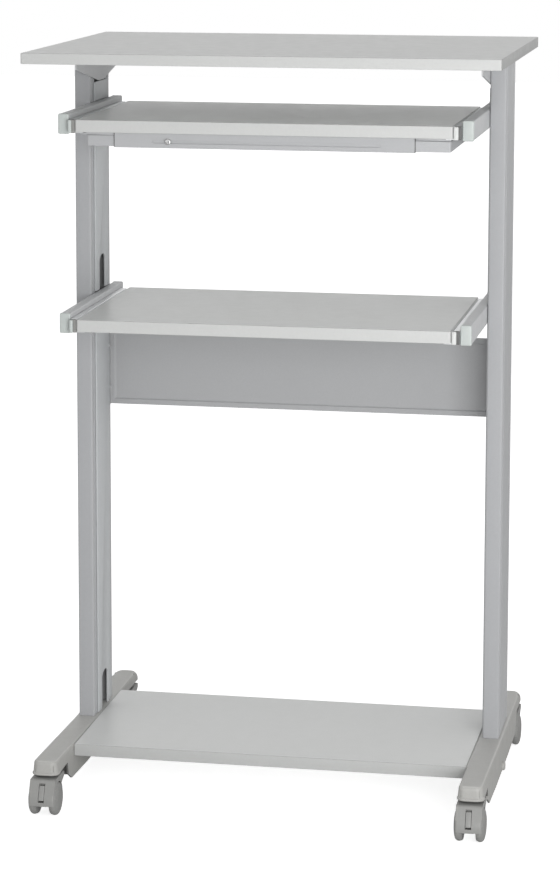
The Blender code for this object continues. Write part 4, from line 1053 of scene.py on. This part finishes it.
def mouse_tray():
    """The folded housing with its long slot, rails and dark strips of painted shade at its ends, and the stop
    screw that runs in the slot.
    """
    low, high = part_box("mouse_housing")
    t = SHEET
    lip = HOUSING_LIP
    section = [(low.y, high.z), (low.y, low.z), (low.y + lip, low.z), (low.y + lip, low.z + t),
               (low.y + t, low.z + t), (low.y + t, high.z - t), (high.y - t, high.z - t),
               (high.y - t, low.z + t), (high.y - lip, low.z + t), (high.y - lip, low.z), (high.y, low.z),
               (high.y, high.z)]
    mesh = drawn([rounded(section, HOUSING_BEND_R, 4)], "x", low.x, high.x)
    screw_low, screw_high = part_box("stop_screw")
    centre = (screw_low + screw_high) / 2
    slot = drawn([stadium(SLOT_FROM, SLOT_TO, centre.z, SLOT_H)], "y", low.y - t, low.y + 2 * t)
    mesh = combine(mesh, slot, "DIFFERENCE")
    piece("mouse_housing_fine", mesh, "housing", "keyboard_shelf", ["mouse_housing"])
    board_low, board_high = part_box("mouse_board")
    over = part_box("keyboard_shelf")[0].z - FIT
    under = board_high.z + RAIL_GAP
    start = high.x + 2 * HAIR + SHADE_STRIP_W
    front = board_low.y + RAIL_IN
    for tag, side in SIDES:
        step = over - RAIL_STEP
        loop = [(start, under), (RAIL_END, under), (RAIL_END, step), (RAIL_OUT, step), (RAIL_OUT, over),
                (start, over)]
        rail = drawn([mirror(loop, side)], "y", front, front + RAIL_D)
        piece("mouse_rail_" + tag, softened(rail, RAIL_EASE, 2), "housing", "keyboard_shelf")
        # painted shade: a dark strip at each end of the housing, in front of the board
        xs = sorted((side * (high.x + HAIR), side * (high.x + HAIR + SHADE_STRIP_W)))
        shade_strip = box((xs[0], low.y + FIT, low.z + RAIL_GAP), (xs[1], board_low.y - FIT, over))
        piece("mouse_shade_strip_" + tag, softened(shade_strip, SHADE_STRIP_EASE, 2), "plug", "keyboard_shelf")
    shank = rod(STOP_SHANK_R, (0, 0, -STOP_SHANK), (0, 0, STOP_H / 8), 24)
    place = (centre.x, screw_low.y + STOP_H, centre.z)
    piece("stop_screw_fine", combine(pan_head(STOP_R, STOP_H), shank, "UNION"), "steel", "mouse_board",
          ["stop_screw"], at=pointing(place, (0, -1, 0)))


# castors

def hood(braked):
    """A castor hood about its stem: guard over the wheels, web between them, deck, boss and collar."""
    y = -TRAIL
    z = WHEEL_R
    half = HOOD_HALF
    round_r = HOOD_R - HOOD_LIP_R - GUARD_EDGE
    outer = [(HOOD_LIP_R, half)]
    outer += [(HOOD_R - round_r + u, half - round_r + v) for u, v in arc(0, 0, round_r, 90, 0, 9)]
    inner = [(HOOD_IN_R, half - GUARD_DEEP), (HOOD_LIP_R + 2 * GUARD_EDGE, half - GUARD_LIP)]
    ring = outer + [(u, -v) for u, v in reversed(outer)]
    ring += [(u, -v) for u, v in reversed(inner)] + inner + [outer[0]]
    mesh = turned(ring, 88)
    mesh.transform(Matrix.Rotation(math.radians(90), 4, "Y"))
    mesh.transform(Matrix.Translation((0.0, y, z)))
    away = [(y + u, z + v) for u, v in GUARD_CUT]
    mesh = combine(mesh, drawn([away], "x", -REACH, REACH), "DIFFERENCE")
    mid_r = (HOOD_R + HOOD_IN_R) / 2
    web = arc(y, z, mid_r, WEB_FROM, WEB_TO, 32) + [(y + u, z + v) for u, v in WEB_EDGE]
    mesh = combine(mesh, drawn([web], "x", -HOOD_WEB / 2, HOOD_WEB / 2), "UNION")
    leave = math.radians(DECK_FROM)
    start = (y + HOOD_R * math.cos(leave), z + HOOD_R * math.sin(leave))
    front = start[0] - (DECK_TOP - start[1]) * math.tan(leave)
    deck = arc(y, z, mid_r, DECK_FROM, DECK_TO, 24)
    deck += [(DECK_REAR, DECK_LOW), (DECK_REAR, DECK_TOP, DECK_REAR_R), (front, DECK_TOP, DECK_FRONT_R),
             start]
    deck = drawn([rounded(deck, HAIR, 6)], "x", DECK_INSET - half, half - DECK_INSET)
    mesh = combine(mesh, softened(deck, DECK_SIDE_R, 4, 60), "UNION")
    boss = rod(STEM_BOSS_R, (0, 0, z + WHEEL_R - BOSS_SINK), (0, 0, CASTOR_TOP), 40)
    mesh = combine(mesh, boss, "UNION")
    collar = rod(COLLAR_R, (0, 0, CASTOR_TOP - COLLAR_H), (0, 0, CASTOR_TOP - FIT), 48)
    mesh = combine(mesh, collar, "UNION")
    bore = rod(STEM_BORE_R, (0, 0, z + STEM_BORE_UP), (0, 0, CASTOR_TOP + STEM_BOSS_R), 32)
    mesh = combine(mesh, bore, "DIFFERENCE")
    mesh = combine(mesh, rod(AXLE_R + FIT, (-REACH, y, z), (REACH, y, z), 32), "DIFFERENCE")
    if braked:
        gap = LEVER_W / 2 + POCKET_GAP
        low = 180 - LEVER_FROM + POCKET_MORE
        high = 180 - LEVER_TO - POCKET_MORE
        pocket = arc(y, z, HOOD_R / math.cos(leave - math.radians(high)) + POCKET_OVER, low, high, 24)
        pocket += arc(y, z, HOOD_R - POCKET_DEEP, high, low, 24)
        mesh = combine(mesh, drawn([pocket], "x", -gap, gap), "DIFFERENCE")
    return softened(mesh, FIT, 2, 40)


def lever():
    """A curved rocker that lies flush in the hood's pocket."""
    y = -TRAIL
    z = WHEEL_R
    face = HOOD_R + LEVER_PROUD
    end = math.radians(180 - LEVER_TO)
    reach = face / math.cos(math.radians(DECK_FROM) - end)
    loop = arc(y, z, face, 180 - LEVER_FROM, DECK_FROM, 12)
    loop += [(y + reach * math.cos(end), z + reach * math.sin(end))]
    loop += arc(y, z, HOOD_R - LEVER_T, 180 - LEVER_TO, 180 - LEVER_FROM, 28)
    mesh = drawn([loop], "x", -LEVER_W / 2, LEVER_W / 2)
    return softened(mesh, LEVER_EASE, 3, 40)


def wheel():
    """One wheel about local Z, its domed face up and a blind bore below."""
    r = WHEEL_R
    w = WHEEL_W
    bore = AXLE_R + WHEEL_PLAY
    profile = [(r * share, w - down) for share, down in WHEEL_DOME]
    profile += [(r - inset, up) for inset, up in WHEEL_BACK]
    profile += [(bore, 0.0), (bore, w - WHEEL_ROOF), (0.0, w - WHEEL_ROOF)]
    return turned(profile, 72)


def castors():
    for tag, braked in CASTORS:
        name = "castor_" + tag
        low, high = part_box(name + "_stem")
        stand = Matrix.Translation(((low.x + high.x) / 2, (low.y + high.y) / 2, 0.0))
        piece(name + "_hood_fine", hood(braked), "castor", name, [name + "_hood"], stand)
        for part, side in SIDES:
            node = name + "_wheel_" + part
            mesh = wheel()
            mesh.transform(Matrix.Rotation(side * math.radians(90), 4, "Y"))
            mesh.transform(Matrix.Translation((side * WHEEL_IN, -TRAIL, WHEEL_R)))
            piece(node + "_fine", mesh, "tread", node, [node], stand)
        if braked:
            node = name + "_lever"
            piece(node + "_fine", lever(), "castor", node, [node], stand)


# carried-over nodes

def carried():
    """Nodes of the frame that keep their shape get rounded edges and a finish."""
    for node, finish in CARRIED:
        ob = NODES[node]
        weld = ob.modifiers.new("weld", "WELD")
        weld.merge_threshold = LOOSE_WELD
        flat = ob.modifiers.new("flat", "DECIMATE")
        flat.decimate_type = "DISSOLVE"
        flat.angle_limit = math.radians(1.0)
        bevel = ob.modifiers.new("rounded", "BEVEL")
        bevel.width = CAD_EASE
        bevel.segments = 2
        bevel.limit_method = "ANGLE"
        bevel.angle_limit = math.radians(30)
        ob.data.materials.clear()
        ob.data.materials.append(FINISH[finish])
    for name, ob in NODES.items():
        if name.endswith(("_stem", "_axle")):
            ob.data.materials.clear()
            ob.data.materials.append(FINISH["steel"])


# studio

def area(name, place, aim, width, height, power):
    """A soft box."""
    lamp = bpy.data.lights.new(name, "AREA")
    lamp.shape = "RECTANGLE"
    lamp.size = width
    lamp.size_y = height
    lamp.energy = power
    add(name, lamp).matrix_world = pointing(place, Vector(place) - Vector(aim))


def studio():
    """A pale floor, a surround that is white except as light, and a soft lamp."""
    bm = bmesh.new()
    bmesh.ops.create_grid(bm, x_segments=1, y_segments=1, size=FLOOR_SIZE)
    mesh = mesh_of(bm, "floor")
    mat, tree, shader = material("floor")
    shader.inputs["Base Color"].default_value = (FLOOR_GREY, FLOOR_GREY, FLOOR_GREY, 1.0)
    shader.inputs["Roughness"].default_value = FLOOR_ROUGH
    shader.inputs["Emission Color"].default_value = WHITE
    seen = make(tree, "ShaderNodeLightPath").outputs["Is Camera Ray"]
    tree.links.new(reckon(tree, "MULTIPLY", seen, FLOOR_GLOW), shader.inputs["Emission Strength"])
    mesh.materials.append(mat)
    floor = add("floor", mesh)

    world = bpy.data.worlds.new("studio")
    bpy.context.scene.world = world
    world.use_nodes = True
    tree = world.node_tree
    back = tree.nodes["Background"]
    path = make(tree, "ShaderNodeLightPath")
    seen = path.outputs["Is Camera Ray"]
    for ray in ("Is Glossy Ray", "Is Transmission Ray"):
        seen = reckon(tree, "MAXIMUM", seen, path.outputs[ray])
    way = make(tree, "ShaderNodeTexCoord").outputs["Generated"]
    up = make(tree, "ShaderNodeSeparateXYZ", {"Vector": way}).outputs["Z"]
    sky = spread(tree, up, SKY_LEVEL, SKY_TOP, 0.0, 1.0)
    back.inputs["Color"].default_value = WHITE
    tree.links.new(spread(tree, seen, sky, 1.0, 0.0, 1.0), back.inputs["Strength"])

    area("key", KEY_PLACE, KEY_AIM, KEY_WIDE, KEY_HIGH, KEY_POWER)


def camera():
    """The photograph's viewpoint."""
    data = bpy.data.cameras.new("camera")
    data.sensor_width = SENSOR
    data.sensor_fit = "AUTO"
    data.lens = LENS
    data.shift_x, data.shift_y = SHIFT
    data.clip_end = CAMERA_FAR
    ob = add("camera", data)
    ob.location = (CAMERA_X, POST_Y - CAMERA_BACK, CAMERA_Z)
    ob.rotation_euler = (math.radians(90 - CAMERA_DOWN), 0.0, math.radians(CAMERA_TURN))
    bpy.context.scene.camera = ob


FINISH = finishes()
boards()
posts()
for tag, side in SIDES:
    foot(tag, side)
for level in LEVELS:
    arms(level)
    slides(level)
mouse_tray()
castors()
carried()
studio()
camera()
bpy.context.scene.view_settings.view_transform = "Standard"
